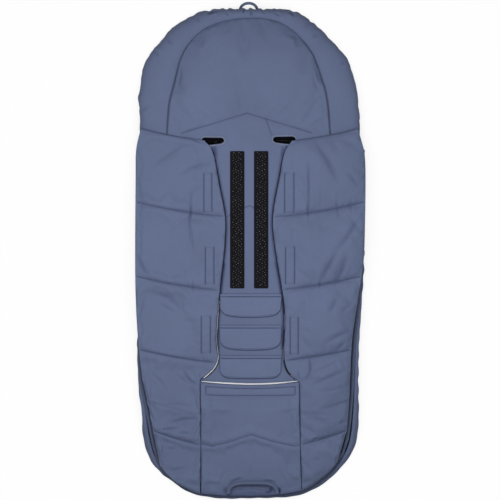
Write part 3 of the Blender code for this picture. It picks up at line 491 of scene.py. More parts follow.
SOLIDS = {
    "reflective_piping": dict(colour=(0.80, 0.80, 0.81), rough=0.4, grain=1500.0),
    "slider_metal": dict(colour=(0.115, 0.145, 0.240), rough=0.42, metallic=0.5),
    "thread": dict(colour=(0.030, 0.037, 0.070), rough=0.7, grain=2500.0),
    "dot": dict(colour=(0.17, 0.17, 0.175), rough=0.4, grain=2500.0),
}
STUFF = {name: cloth(name, **looks) for name, looks in CLOTHS.items()}
STUFF.update({name: solid(name, **looks) for name, looks in SOLIDS.items()})


# Meshes


def dressed(name, verts, faces, stuff, body):
    """A mesh piece with its material, riding on a body; given (a, b, start, end) instead, it stays where it
    is with its transform baked.
    """
    mesh = bpy.data.meshes.new(name)
    mesh.from_pydata([tuple(map(float, v)) for v in verts], [], [tuple(map(int, f)) for f in faces])
    work = bmesh.new()
    work.from_mesh(mesh)
    bmesh.ops.recalc_face_normals(work, faces=work.faces)
    work.to_mesh(mesh)
    work.free()
    mesh.materials.append(STUFF[stuff])
    mesh.shade_smooth()
    obj = placed(name, mesh)
    if body:
        ride(obj, body)
    return obj


def ride(obj, body):
    if isinstance(body, str):
        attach(obj, body)
    else:
        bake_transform(obj)


def refine(obj):
    """Subdivides the mesh itself, so that nothing is left to a modifier."""
    modifier = obj.modifiers.new("Smooth", "SUBSURF")
    modifier.levels = modifier.render_levels = 1
    bake(obj)


def bake(obj):
    """Turns what the modifiers make into the mesh, and removes them."""
    graph = bpy.context.evaluated_depsgraph_get()
    made = bpy.data.meshes.new_from_object(obj.evaluated_get(graph), depsgraph=graph)
    obj.modifiers.clear()
    old, obj.data = obj.data, made
    bpy.data.meshes.remove(old)


def grid_faces(rows, columns, start=0, closed=False):
    i, j = np.meshgrid(np.arange(rows - 1), np.arange(columns if closed else columns - 1), indexing="ij")
    a = start + i * columns + j
    b = start + i * columns + (j + 1) % columns
    return np.stack([a, b, b + columns, a + columns], -1).reshape(-1, 4)


def rod_faces(rings, sides, start=0):
    """Faces of a closed rod made of rings, with both ends capped."""
    caps = [range(start, start + sides), range(start + (rings - 1) * sides, start + rings * sides)]
    return list(grid_faces(rings, sides, start, closed=True)) + caps


def slab_faces(rows, columns):
    """Faces of a closed slab: an upper grid, a lower grid after it, and the wall round them."""
    top = grid_faces(rows, columns)
    base = grid_faces(rows, columns, rows * columns)[:, ::-1]
    rim = [(0, j) for j in range(columns)] + [(i, columns - 1) for i in range(1, rows)]
    rim += [(rows - 1, j) for j in range(columns - 2, -1, -1)] + [(i, 0) for i in range(rows - 2, 0, -1)]
    index = np.array([i * columns + j for i, j in rim])
    ahead = np.roll(index, -1)
    wall = np.stack([index, index + rows * columns, ahead + rows * columns, ahead], -1)
    return np.vstack([top, base, wall])


def layer(obj, name, values):
    """A number at each point of the mesh."""
    held = obj.data.attributes.new(name, "FLOAT", "POINT")
    held.data.foreach_set("value", np.asarray(values, np.float32))


def slab(name, upper, lower, stuff, body, marks=None, relief=None):
    """A closed padded sheet from two grids. relief(plan) gives height and painted shade to add to its fine
    top, and marks give painted shade at its points.
    """
    rows, columns = upper.shape[:2]
    verts = np.vstack([upper.reshape(-1, 3), lower.reshape(-1, 3)])
    obj = dressed(name, verts, slab_faces(rows, columns), stuff, None)
    none = np.zeros(rows * columns)
    layer(obj, "seam", np.concatenate([none if marks is None else marks.ravel(), none]))
    if relief:
        layer(obj, "top", np.concatenate([none + 1, none]))
    refine(obj)
    if relief:
        carve(obj, relief)
    ride(obj, body)
    return obj


def carve(obj, relief):
    """Adds the relief's height and painted shade to the top of a slab."""
    mesh = obj.data
    points = points_of(mesh)
    top, seam = np.empty((2, len(points)), np.float32)
    mesh.attributes["top"].data.foreach_get("value", top)
    mesh.attributes["seam"].data.foreach_get("value", seam)
    height, painted_shade = relief(points[:, :2].astype(float))
    share = ease(top, 0.5, 1.0)
    points[:, 2] += height * share
    seam = np.maximum(seam, painted_shade * share)
    mesh.vertices.foreach_set("co", points.ravel())
    mesh.attributes["seam"].data.foreach_set("value", seam.astype(np.float32))
    mesh.attributes.remove(mesh.attributes["top"])
    mesh.update()


def tube(name, path, stuff, body, radius, sides=10, squash=(1.0, 1.0), up=(0, 0, 1), closed=False, swell=1.0):
    """A tube or flat band along a path. squash scales its section across and up, and swell its radius."""
    path = np.asarray(path, float)
    ahead = np.roll(path, -1, 0) - np.roll(path, 1, 0)
    if not closed:
        ahead[0], ahead[-1] = path[1] - path[0], path[-1] - path[-2]
    ahead = unit(ahead)
    across = unit(np.cross(ahead, np.broadcast_to(np.asarray(up, float), path.shape)))
    top = np.cross(across, ahead)
    angle = np.arange(sides) * 2 * math.pi / sides
    c, s = np.cos(angle), np.sin(angle)
    power = 0.6 if squash[0] != squash[1] else 1.0
    c = np.sign(c) * np.abs(c) ** power * squash[0]
    s = np.sign(s) * np.abs(s) ** power * squash[1]
    size = np.broadcast_to(radius * swell, len(path))
    section = across[:, None] * c[None, :, None] + top[:, None] * s[None, :, None]
    rings = path[:, None] + size[:, None, None] * section
    faces = rod_faces(len(path), sides)
    if closed:
        j = np.arange(sides)
        k = (j + 1) % sides
        last = (len(path) - 1) * sides
        faces[-2:] = np.stack([last + j, last + k, k, j], -1)
    return dressed(name, rings.reshape(-1, 3), faces, stuff, body)


def along(points, line):
    """Distance to a broken line, and how far along it the nearest place is, from 0 to 1."""
    best, place = np.full(points.shape[:-1], 1e9), np.zeros(points.shape[:-1])
    marks = marks_of(line)
    marks = marks / marks[-1]
    for k, (a, b) in enumerate(zip(line[:-1], line[1:])):
        d = b - a
        t = np.clip(((points - a) @ d) / max(d @ d, 1e-12), 0, 1)
        away = np.linalg.norm(points - a - t[..., None] * d, axis=-1)
        place = np.where(away < best, mix(marks[k], marks[k + 1], t), place)
        best = np.minimum(best, away)
    return best, place


def near(points, line):
    """Distance on the plan from points to a broken line."""
    return along(points, line)[0]


def rough(points, scale, seed=0.0):
    """Smooth noise from -1 to 1 at plan points."""
    got = [wave(x * scale + seed, y * scale - seed) for x, y in points.reshape(-1, 2)]
    return np.array(got).reshape(points.shape[:-1])


def rows_between(levels):
    """Row levels with a few close rows beside each sewn line, and each row's place between two lines."""
    rows = []
    for a, b in zip(levels, levels[1:]):
        n = max(3, round(abs(a - b) * LENGTH / CELL))
        ts = [0.0, 0.45 / n] + [k / n for k in range(1, n)] + [1 - 0.45 / n]
        rows += [(mix(a, b, t), t) for t in ts]
    return rows + [(levels[-1], 0.0)]


def mound(t, sharp):
    """0 at both ends and 1 in the middle, with flanks that are steeper where sharp is less."""
    return (4 * np.clip(t * (1 - t), 0, 1)) ** sharp


# The quilted pieces

# How high the padding rises, the least thickness it is left, and the level at which it ends
RISE = 0.0085
LEAST_PAD = 0.003
FOOT_LEVEL = 0.03

# A side's lines, its sign across, and the levels between which its edge comes down
Side = namedtuple("Side", "edge fold wing foot sign fall")
SIDES = {
    "left": Side(Line(EDGE_LEFT), FOLD_LEFT, WING_LEFT, Line(FOOT_LEFT), -1, (0.24, 0.34)),
    "right": Side(Line(EDGE_RIGHT), FOLD_RIGHT, WING_RIGHT, Line(FOOT_RIGHT), 1, (0.34, 0.50)),
}

# A quilted piece: upper and lower points, how firmly each is held, its distance to a seam, and marks of
# painted shade
Piece = namedtuple("Piece", "upper lower pins sewn marks")


def quilt_y(level, x, outer):
    """A quilting line's place along the length at x. The lines droop toward the outer edge."""
    droop = np.abs(2 * (x - SHIFT[0]) / WIDTH) ** 1.8 - np.abs(2 * (outer - SHIFT[0]) / WIDTH) ** 1.8
    return y_of(level) + QUILT_DROOP * mix(1.75, 1.0, ease(level, QUILT_LEVELS[-1], 0.29)) * droop


def meet(level, outer, line):
    """Where a quilting line that starts at the outer edge meets another line."""
    x = outer
    for _ in range(8):
        x = line.x_at(quilt_y(level, x, outer))
    return x


def fold_frame(side):
    """The middle of a wing's fold, and the way across it."""
    a, b = path_of(SIDES[side].fold)
    way = unit(b - a)
    return (a + b) / 2, np.array((way[1], -way[0])) * -SIDES[side].sign


def pocket_corners(side):
    """The ends of the seam between a side panel and the pocket."""
    end = 0 if side == "left" else -1
    return POCKET_TOP[end], POCKET_FOOT[end]


def held_ends(s, reach):
    """1 at both ends, fading to 0 within reach."""
    return np.maximum(1 - ease(s, 0.0, reach), ease(s, 1 - reach, 1.0))


def side_plan(side, s):
    """Rows of plan points over a side panel and its wing, each row's place between two quilting lines,
    and its level."""
    edge, _, wing, foot, sign, _ = SIDES[side]
    corner, seam_end = pocket_corners(side)
    inner_line = Line(wing + [corner, (mix(corner[0], seam_end[0], 0.5), 0.12), seam_end])
    plan, heights, levels = [], [], []
    for level, t in rows_between(QUILT_LEVELS):
        outer = edge.x_at(y_of(level))
        inner = meet(level, outer, inner_line) + (sign * 0.0004 if level < 0.25 else 0.0)
        x = mix(outer, inner, s)
        plan.append(np.stack([x, quilt_y(level, x, outer)], -1))
        heights.append(t)
        levels.append(level)
    last = plan[-1]
    bottom = foot.at(s) + np.array((sign * 0.0004, 0.0))
    rows = 17
    for k in range(1, rows + 1):
        t = k / rows
        plan.append(mix(last, bottom, t))
        heights.append(t * 0.85 if k < rows else 1.0)
        levels.append(mix(QUILT_LEVELS[-1], FOOT_LEVEL, t))
    return np.array(plan), np.array(heights)[:, None], np.array(levels)[:, None]


def side_piece(side):
    """A side panel and its wing, which are one quilted layer."""
    columns = 54
    s = np.linspace(0, 1, columns + 1)
    s = np.sort(np.append(s, [0.4 / columns, 1 - 0.4 / columns]))
    plan, heights, levels = side_plan(side, s)
    to_line = np.minimum(heights, 1 - heights)
    middle, across = fold_frame(side)
    in_wing = np.where(levels > 0.2, (plan - middle) @ across, -0.05)
    lift = ease(in_wing, -0.012, 0.004)
    at_edge = 1 - ease(s, 0.0, 0.10)
    drop = (0.0015 + 0.0045 * (1 - ease(levels, *SIDES[side].fall))) * (1 - ease(s, 0.0, 0.16))
    low = mix(BACK_TOP + CLEAR, WING_BASE, lift) - drop
    least = FOOT_HINGE_Z + CLEAR
    low = np.maximum(mix(low, least, 1 - ease(levels, FOOT_LEVEL, 0.075)), least)
    arch = mound(s, 0.30)
    flat = mix(BACK_TOP + EDGE_PAD, FOLD_Z, lift)
    thin = mix(flat, low + EDGE_PAD, np.maximum(at_edge, 1 - ease(levels, FOOT_LEVEL, 0.09)))
    groove = 0.0018 * peak(to_line, 1 / 30) * arch * (levels > 0.05)
    upper = thin + RISE * mound(heights, 0.36) * arch - groove
    upper = np.maximum(upper, low + LEAST_PAD + 0.0005)
    pins = np.maximum(peak(to_line, 1 / 40), held_ends(s, 0.012))
    boxes = np.full(pins.shape, 1.0)
    for shape in PATCH_LINES[side]:
        boxes = np.minimum(boxes, near(plan, stitch_box(*shape)))
    pins = np.maximum(pins, boxes < 0.0022)
    sewn = np.minimum(np.minimum(to_line * 0.155, boxes), (1 - s) * 0.17)
    # Painted shade along the inner edge, where the wing's free edge lies, and along the top edge.
    marks = np.zeros(pins.shape)
    marks[:, -1] = 0.35
    marks[0] = 0.45
    return Piece(join_z(plan, upper), join_z(plan, low), pins, sewn, marks)


def pocket_box():
    """The hook patch's sewn outline on the pocket, whose long sides sag."""
    xs, ys = POCKET_BOX
    u = np.linspace(xs[0], xs[1], 25)
    sag = 1 - ((u - (xs[0] + xs[1]) / 2) / ((xs[1] - xs[0]) / 2)) ** 2
    top, foot = (path_of(list(zip(u, y - deep * sag))) for y, deep in zip(ys, (0.0038, 0.0016)))
    return top, foot, np.array([top[0], foot[0]]), np.array([top[-1], foot[-1]])


def stitch_box(xs, ys):
    """The sewn outline of a hook and loop patch."""
    return path_of([(xs[0], ys[0]), (xs[1], ys[0]), (xs[1], ys[1]), (xs[0], ys[1]), (xs[0], ys[0])])


def pocket_piece():
    """The quilted pocket over the foot."""
    top, foot = Line(POCKET_TOP), Line(POCKET_FOOT)
    columns, rows = 46, 48
    s = np.sort(np.append(np.linspace(0, 1, columns + 1), [0.35 / columns, 1 - 0.35 / columns]))
    t = np.sort(np.append(np.linspace(0, 1, rows + 1), [0.4 / rows]))[:, None]
    a, b = top.at(s), foot.at(s)
    plan = mix(a, b, t[..., None])
    spread = 0.0009 * (2 * s - 1) * ease(t, 0.70, 0.90)
    plan[..., 0] = np.clip(plan[..., 0], a[0, 0] + 0.0002, b[-1, 0]) + spread
    low = WING_BASE - (WING_BASE - BACK_TOP - CLEAR) * ease(t, 0.15, 0.35) + 0 * s
    low = mix(low, FOOT_HINGE_Z + CLEAR, ease(t, 0.9, 1.0))
    away = near(plan, path_of(POCKET_CHEVRON))
    rise = (1 - np.exp(-away / 0.018)) * ease(t, 0.13, 0.24) * ease(1 - t, 0.0, 0.16) * mound(s, 0.25)
    crest = FOLD_Z - 0.004 * ease(t, 0.5, 1.0) + RISE * rise - 0.0024 * peak(away, 0.0035)
    crest = mix(crest, low + RISE, ease(t, 0.90, 1.0))
    pins = np.maximum((away < 0.0028) | (t < 0.11) | (t > 0.985), held_ends(s, 0.01))
    sewn = np.minimum(np.minimum(away, np.minimum(s, 1 - s) * 0.21), (1 - t) * 0.22)
    # Painted shadow under the foot loop, and painted shade along the foot edge, the top and both sides.
    under = (plan - spot(FOOT_LOOP)) / np.array((0.050, 0.025))
    shadow = 0.32 * (1 - ease((under ** 2).sum(-1), 0.5, 1.5))
    marks = shadow * (0.75 + 0.5 * rough(plan, 140, 5.0)) + 0.5 * ease(t, 0.95, 1.0)
    marks = np.clip(marks, 0, 1)
    marks[0], marks[:, 0], marks[:, -1] = 0.5, 0.3, 0.3
    return Piece(join_z(plan, np.maximum(crest, low + LEAST_PAD)), join_z(plan, low), pins, sewn, marks)


def back_plan(s, first, last, last_arc):
    """Rows of plan points over the back, straight up to the shoulders and then bending into the hood's
    arc, how thin each row is, and how far into the hood it lies."""
    f = np.linspace(0, 0.5, 400)
    borders = []
    for way in (f, 1 - f):
        line = zip_line.at(way)[:, :2] - zip_line.side(way) * BACK_INSET
        borders.append(line[np.argsort(line[:, 1])].T)
    plan, thin, hood = [], [], []
    for v in np.linspace(first, last, 118):
        y = y_of(v)
        a, b = (np.interp(y, ys, xs) for xs, ys in borders)
        squeeze = ease(v, first, 0.05)
        half = mix(0.20 * WIDTH, (b - a) / 2, squeeze)
        middle = mix(SHIFT[0], (a + b) / 2, squeeze)
        plan.append(np.stack([middle + half * (2 * s - 1), np.full_like(s, y)], -1))
        thin.append(mix(0.007, 0.0, ease(v, first, 0.09)))
        hood.append(0.0)
    start = plan[-1]
    for g in np.linspace(0.0, last_arc, 62):
        curved = np.interp(g, [0, 0.085, 0.16, 0.24, 0.32, last_arc], [0, 0.1, 0.2, 0.4, 0.7, 1.0])
        arc = hood_seam.at(mix(g, 1 - g, s))
        straight = mix(hood_seam.at(g), hood_seam.at(1 - g), s[:, None])
        row = mix(straight, arc, np.array((curved * 0.6, curved ** 2)))
        if g < 0.03:
            row = mix(start, row, 0.5 + g / 0.06)
        plan.append(row)
        thin.append(0.0)
        hood.append(g)
    return np.array(plan), np.array(thin)[:, None], np.array(hood)[:, None]


def back_piece():
    """The padded back with its hood."""
    last_arc = 0.37
    s = np.linspace(0, 1, 67)
    plan, thin, hood = back_plan(s, 0.027, 0.70, last_arc)
    edge = np.minimum(s, 1 - s)
    line = path_of(HOOD_CHEVRON)
    chevron = near(plan, line)
    above = plan[..., 1] - np.interp(plan[..., 0], *line.T)
    puff = (1 - np.exp(-np.maximum(above, 0) / 0.035)) * ease(last_arc - hood, 0.0, 0.10) * mound(edge, 0.4)
    puff = puff * ease(hood, 0.02, 0.09)
    side_thin = np.where(hood > 0, CLEAR, 0.005) * (1 - ease(edge, 0.0, 0.05))
    top = BACK_TOP - np.maximum(thin, side_thin) + 0.0125 * puff - 0.0015 * peak(chevron, 0.003)
    pins = ((chevron < 0.003) & (hood > 0.05)) | (above < -0.002) | (edge < 0.003) | (hood > last_arc - 0.004)
    marks = np.zeros(pins.shape)
    sewn = np.minimum(chevron, 0.2)
    return Piece(join_z(plan, top), join_z(plan, BACK_BASE), pins * 1.0, sewn, marks)


# Cloth


def air_filled(obj, frames, pressure, slack):
    """Makes a mesh cloth with air under it, held where its group says."""
    modifier = obj.modifiers.new("Cloth", "CLOTH")
    settings = modifier.settings
    settings.quality = 5
    settings.mass = 0.25
    settings.tension_stiffness = settings.compression_stiffness = 12
    settings.shear_stiffness = 4
    settings.bending_stiffness = 0.35
    settings.use_pressure = True
    settings.uniform_pressure_force = pressure
    settings.shrink_min = -slack
    settings.vertex_group_mass = "held"
    settings.effector_weights.gravity = 0
    modifier.collision_settings.use_collision = False
    modifier.collision_settings.use_self_collision = False
    modifier.point_cache.frame_start, modifier.point_cache.frame_end = 1, frames


def settle(grids, frames=20, pressure=4.0, slack=0.03, cap=0.009):
    """Runs the sewn layers as cloth with air under them. Pins hold the seams, and no point moves
    further than cap."""
    verts, faces, pins, offset = [], [], [], 0
    for upper, held in grids:
        rows, columns = upper.shape[:2]
        verts.append(upper.reshape(-1, 3))
        faces.append(grid_faces(rows, columns, offset))
        pins.append(held.ravel())
        offset += rows * columns
    verts, faces, pins = np.vstack(verts), np.vstack(faces), np.concatenate(pins)
    mesh = bpy.data.meshes.new("cloth")
    mesh.from_pydata(verts.tolist(), [], faces.tolist())
    obj = placed("cloth", mesh)
    up = np.array([p.normal.z for p in mesh.polygons])
    if up.mean() < 0:
        mesh.flip_normals()
    group = obj.vertex_groups.new(name="held")
    for i in np.nonzero(pins > 0.02)[0]:
        group.add([int(i)], float(min(pins[i], 1.0)), "REPLACE")
    air_filled(obj, frames, pressure, slack)
    scene = bpy.context.scene
    for frame_number in range(1, frames + 1):
        scene.frame_set(frame_number)
    seen = obj.evaluated_get(bpy.context.evaluated_depsgraph_get())
    move = points_of(seen.data).astype(float) - verts
    bpy.data.objects.remove(obj)
    scene.frame_set(1)
    far = np.linalg.norm(move, axis=1, keepdims=True)
    print(f"cloth moved up to {far.max() * 1000:.1f} mm, mean {far.mean() * 1000:.2f}")
    got = verts + move * np.minimum(1.0, cap / np.maximum(far, 1e-9))
    ends = np.cumsum([held.size for _, held in grids])
    return [part.reshape(upper.shape) for part, (upper, _) in zip(np.split(got, ends[:-1]), grids)]


pieces = {side: side_piece(side) for side in SIDES}
pieces.update(pocket=pocket_piece(), back=back_piece())
tops = {name: piece.upper for name, piece in pieces.items()}
settled = settle([(piece.upper, piece.pins) for piece in pieces.values()])
tops = dict(zip(pieces, settled))


def quilting(side):
    """The sewn quilting lines across a side panel and its wing."""
    edge, _, wing, _, sign, _ = SIDES[side]
    inner_line = Line(wing + list(pocket_corners(side)))
    lines = []
    for level in QUILT_LEVELS[1:]:
        outer = edge.x_at(y_of(level))
        inner = meet(level, outer, inner_line)
        x = np.linspace(outer - sign * 0.004, inner + sign * 0.004, 50)
        lines.append(np.stack([x, quilt_y(level, x, outer)], -1))
    return lines


def relief_of(name, sewn=(), folds=(), shades=()):
    """The creases of a piece with soft ridges beside them and the pinch along sewn lines, with painted shade
    in the creases, along the sewn lines, under the shades and on small folds.
    """
    def relief(plan):
        height, painted_shade = np.zeros(len(plan)), np.zeros(len(plan))
        for points, width, depth in CREASES.get(name, ()):
            away, place = along(plan, Line(points).points[:, :2])
            fade = np.sin(math.pi * np.clip(place, 0.02, 0.98)) ** 0.8
            ridge = 0.5 * peak(away - 1.7 * width, width)
            height -= 0.85 * depth * fade * (peak(away, 0.75 * width) - ridge)
            painted_shade = np.maximum(painted_shade, min(depth / 0.0075, 0.75) * fade * peak(away, 0.55 * width))
        for line, strength in sewn:
            away = near(plan, line)
            height -= 0.0008 * peak(away, 0.0018)
            painted_shade = np.maximum(painted_shade, strength * peak(away, 0.0013))
        for line, width, strength in shades:
            painted_shade = np.maximum(painted_shade, strength * peak(near(plan, line), width))
        for at, size, strength in folds:
            away = np.linalg.norm((plan - spot(at)) / np.array(size), axis=1)
            painted_shade = np.maximum(painted_shade, strength * np.exp(-away ** 4))
        return height, painted_shade
    return relief


def finish_top(upper, piece):
    """Adds small creases and the puckers beside sewn lines, and keeps the top clear of what lies under it."""
    plan = upper[..., :2]
    loose = 1 - np.clip(piece.pins, 0, 1)
    puckers = 0.0013 * rough(plan * np.array((1.0, 0.35)), 95, 21.0) * np.exp(-piece.sewn / 0.011)
    z = upper[..., 2] + (0.0007 * rough(plan, 38, 3.0) + 0.0004 * rough(plan, 95, 9.0)) * loose
    z = z + puckers * ease(piece.sewn, 0.0, 0.003)
    upper = upper.copy()
    upper[..., 2] = np.maximum(z, piece.lower[..., 2] + LEAST_PAD)
    return upper


for name, piece in pieces.items():
    tops[name] = finish_top(tops[name], piece)


def bend_of(side):
    middle, inward = fold_frame(side)
    if inward[0] * SIDES[side].sign > 0:
        inward = -inward
    start, end = middle - inward * 0.006, middle + inward * 0.004
    return "back", f"wing_{side}", (*start, FOLD_Z), (*end, FOLD_Z)


shells = {}
for side in SIDES:
    piece = pieces[side]
    boxes = [stitch_box(*shape) for shape in PATCH_LINES[side]]
    # Each sewn line comes with the strength of the painted shade along it.
    sewn = [(box[k:k + 2], 0.80 if k % 2 else 0.22) for box in boxes for k in range(4)]
    for line in quilting(side):
        sewn += [(line[:26], 0.46), (line[25:38], 0.34), (line[37:], 0.24)]
    relief = relief_of(side, sewn)
    name = f"quilted_side_{side}"
    shells[side] = slab(name, tops[side], piece.lower, "shell_fabric", bend_of(side), piece.marks, relief)
    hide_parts(f"side_panel_{side}", f"wing_{side}")

# Each sewn line comes with the strength of the painted shade along it.
sewn = [(line, 0.45) for line in pocket_box()] + [(path_of(POCKET_CHEVRON), 0.40)]
relief = relief_of("pocket", sewn, FOLD_SHADOWS["pocket"])
piece = pieces["pocket"]
shells["pocket"] = slab("quilted_pocket", tops["pocket"], piece.lower, "shell_fabric", "back",
                        piece.marks, relief)
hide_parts("pocket")


def rounded(centre, size, radius, steps=6):
    """A rectangle with round corners, as a plan loop."""
    loop = []
    for turn, (sx, sy) in enumerate(((1, 1), (-1, 1), (-1, -1), (1, -1))):
        pivot = np.array((centre[0] + sx * (size[0] / 2 - radius), centre[1] + sy * (size[1] / 2 - radius)))
        for k in range(steps + 1):
            angle = math.pi / 2 * (turn + k / steps)
            loop.append(pivot + radius * np.array((math.cos(angle), math.sin(angle))))
    return np.array(loop)


SLOTS = [(f"shoulder_slot_binding_{side}", spot(at), SLOT_SIZE) for side, at in SHOULDER_SLOTS.items()]
for name, (top, _) in FLAPS.items():
    SLOTS.append((f"crotch_slot_binding_{name}", spot((FLAP_X, top - 0.022)), CROTCH_SLOT_SIZE))


def slot_loop(name, centre, size, radius, steps=6):
    """A slot's outline. A shoulder slot narrows toward the middle of the back."""
    loop = rounded(centre, size, radius, steps)
    if name.startswith("shoulder"):
        inward = 1 if name.endswith("left") else -1
        reach = ease((loop[:, 0] - centre[0]) * inward, -0.006, size[0] / 2)
        top = centre[1] + size[1] / 2 - 0.0022
        loop[:, 1] = top - (top - loop[:, 1]) * (1 - 0.26 * reach)
    return loop


def prism(loop, low, high):
    """A solid that cuts a plan loop out of another."""
    count = len(loop)
    verts = [(*p, low) for p in loop] + [(*p, high) for p in loop]
    faces = [tuple(range(count))[::-1], tuple(range(count, 2 * count))]
    faces += [(j, (j + 1) % count, count + (j + 1) % count, count + j) for j in range(count)]
    mesh = bpy.data.meshes.new("cutter")
    mesh.from_pydata(verts, [], faces)
    return placed("cutter", mesh)


def cut_slots(obj):
    """Cuts the slots' openings through a piece."""
    cutters = []
    for name, centre, size in SLOTS:
        cutter = prism(slot_loop(name, centre, size, size[1] / 2 - 0.0005), 0.02, 0.09)
        modifier = obj.modifiers.new("slot", "BOOLEAN")
        modifier.operation, modifier.solver, modifier.object = "DIFFERENCE", "EXACT", cutter
        cutters.append(cutter)
    bake(obj)
    for cutter in cutters:
        bpy.data.objects.remove(cutter)


# The shadow that each wing's edge throws on the back
shades = []
for part in SIDES.values():
    path = Line(part.wing).at(np.linspace(0.02, 0.90, 90))
    path[:, 0] -= part.sign * 0.0022
    shades += [(path, 0.0024, 0.9), (path[50:86], 0.0032, 1.35)]
back_lines = [path_of(line) for line in (HOOD_CHEVRON, HOOD_SHORT, CENTRE_CHEVRON)]
# Each line comes with the strength of the painted shade along it.
relief = relief_of("back", [(line, 0.40) for line in back_lines], FOLD_SHADOWS["back"], shades)
shells["back"] = slab("padded_back", tops["back"], pieces["back"].lower, "shell_fabric", "back",
                      relief=relief)
cut_slots(shells["back"])
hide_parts("back_panel")


# Hood rim, its gathered edge and elastic


def rim_rays(f):
    """The hood seam's points, the way out from each to the hood's edge, and how far that is."""
    seam, edge = hood_seam.at(f), hood_edge.at(f)
    wide = np.linalg.norm(edge - seam, axis=1)
    return seam, (edge - seam) / wide[:, None], wide


def rim_pleats():
    """Pleats along the hood's edge, larger and closer toward its middle: place, depth, start, slant
    and breadth."""
    chance = np.random.default_rng(7)
    pleats, reach = [], 0.05
    while reach < hood_edge.length - 0.05:
        middle = peak(reach / hood_edge.length - 0.5, 0.16)
        size = (0.25 + 1.1 * middle) * chance.uniform(0.25, 1.0)
        start, slant, broad = (chance.uniform(*span) for span in ((0.12, 0.36), (-0.4, 0.4), (0.7, 1.6)))
        pleats.append((reach, size, start, slant, broad))
        reach += chance.uniform(0.014, 0.048) * (1.2 - 0.5 * middle)
    return pleats


def rim_relief(f, t, pleats):
    """How far the rim's surface stands out along the section at f: soft folds, gathers and pleats."""
    arc = f * hood_edge.length
    middle = peak(f - 0.47, 0.085)
    fold = 0.6 * wave(arc * 22, 0.3) + 0.4 * wave(arc * 55, 4.1)
    tight = wave(arc * 85, 7.7) + 0.6 * wave(arc * 170, 2.2)
    uneven = 0.6 + 0.8 * wave(arc * 9, 11.0)
    gather = (0.0010 * uneven + 0.0006 * middle) * tight * ease(t, 0.16, 0.6)
    for at, deep, start, slant, broad in pleats:
        if abs(at - arc) < 0.026:
            off = (arc - at - slant * 0.03 * (0.5 - t)) / (0.0040 * broad)
            held = ease(t, start, start + 0.16) * (1 - ease(t, 0.75, 0.9))
            pinch = peak(off, 1) - 0.35 * peak(np.abs(off) - 2, 1)
            gather = gather - mix(0.0022, 0.0044, middle) * deep * pinch * held
    depth = 0.0040 * fold * ease(t, 0.12, 0.62) + gather + 0.0012 * ease(t, 0.2, 0.5)
    return depth * ease(min(f, 1 - f), 0.0, 0.04)


def rim_piece():
    """The hood's rim, from its seam over the top and curled under: upper and lower points."""
    stations, across = 420, 26
    f = np.linspace(0, 1, stations + 1)
    seam, out, wide = rim_rays(f)
    puff = 0.008 * ease(np.minimum(f, 1 - f), 0.08, 0.2)
    knots = [
        (-0.0003, BACK_TOP - 0.0015), (wide * 0.35, BACK_TOP - 0.001 + puff * 0.8),
        (wide * 0.74, BACK_TOP - 0.002 + puff * 0.35), (wide - 0.004, 0.0505), (wide, 0.030),
        (wide - 0.005, 0.009), (wide - 0.018, 0.0008), (wide - RIM_CURL, 0.0008),
    ]
    knots = np.array([[part + 0 * wide for part in knot] for knot in knots]).transpose(2, 0, 1)
    t = np.linspace(0, 1, across + 1)
    pleats = rim_pleats()
    upper, lower = np.zeros((2, stations + 1, across + 1, 3))
    for i in range(stations + 1):
        section = smooth_section(knots[i], t)
        tangent = unit(np.gradient(section, axis=0))
        normal = np.stack([-tangent[:, 1], tangent[:, 0]], -1)
        section_out = section + normal * rim_relief(f[i], t, pleats)[:, None]
        section_in = section_out - normal * 0.0085 * (1 - 0.25 * t)[:, None]
        section_in[0] = (-0.0003, BACK_TOP - 0.011)
        for target, line in ((upper, section_out), (lower, section_in)):
            target[i, :, :2] = seam[i] + out[i] * line[:, :1]
            target[i, :, 2] = np.maximum(line[:, 1], CLEAR)
    return upper, lower


def smooth_section(knots, t):
    """A section through knots, read by its fraction and smoothed."""
    marks = marks_of(knots)
    raw = sampled(knots, marks, t * marks[-1])
    for _ in range(3):
        raw[1:-1] += 0.5 * ((raw[:-2] + raw[2:]) / 2 - raw[1:-1])
    return raw


rim_upper, rim_lower = rim_piece()
rim = slab("hood_rim_gathered", rim_upper, rim_lower, "shell_fabric", "back", relief=relief_of("rim"))
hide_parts("hood_rim")


def hood_trim():
    """The casing along the hood's curled edge, open at one side, and the elastic in it."""
    casing_radius, elastic_radius, wall = 0.0046, 0.0026, 0.0012
    f = np.linspace(0.05, 0.95, 260)
    seam, out, wide = rim_rays(f)
    centre = seam + out * (wide - (RIM_CURL + casing_radius + 0.003))[:, None]
    z = casing_radius + CLEAR
    angle = math.radians(215) + math.radians(290) * np.arange(15) / 14
    rings = []
    for i, reach in enumerate(f * hood_edge.length):
        outer, inner = casing_radius * min(1 + 0.10 * wave(reach * 260), 1.1), casing_radius - wall
        for radius, turn in ((outer, angle), (inner, angle[::-1])):
            rings += [(*(centre[i] + out[i] * radius * math.cos(a)), z + radius * math.sin(a)) for a in turn]
    faces = rod_faces(len(f), 2 * len(angle))
    casing = dressed("hood_casing_gathered", rings, faces, "shell_fabric", "back")
    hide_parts("hood_casing")
    swell = 1 - 0.05 * (np.arange(len(f)) % 2)
    elastic = tube("hood_elastic_cord", join_z(centre, z), "elastic", "back", elastic_radius, swell=swell)
    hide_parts("hood_elastic")


hood_trim()


# Front cover and linings


def zip_frame(fraction):
    """At a place on the zip's line: its centre, the ways across and out, its bulge and its lean."""
    at = zip_line.at(fraction)
    out = np.append(zip_line.side(fraction), 0.0)
    tilt = math.radians(at[3])
    across = np.array((-out[0] * math.sin(tilt), -out[1] * math.sin(tilt), math.cos(tilt)))
    return np.array((at[0], at[1], ZIP_Z)), across, out, at[2], math.sin(tilt)


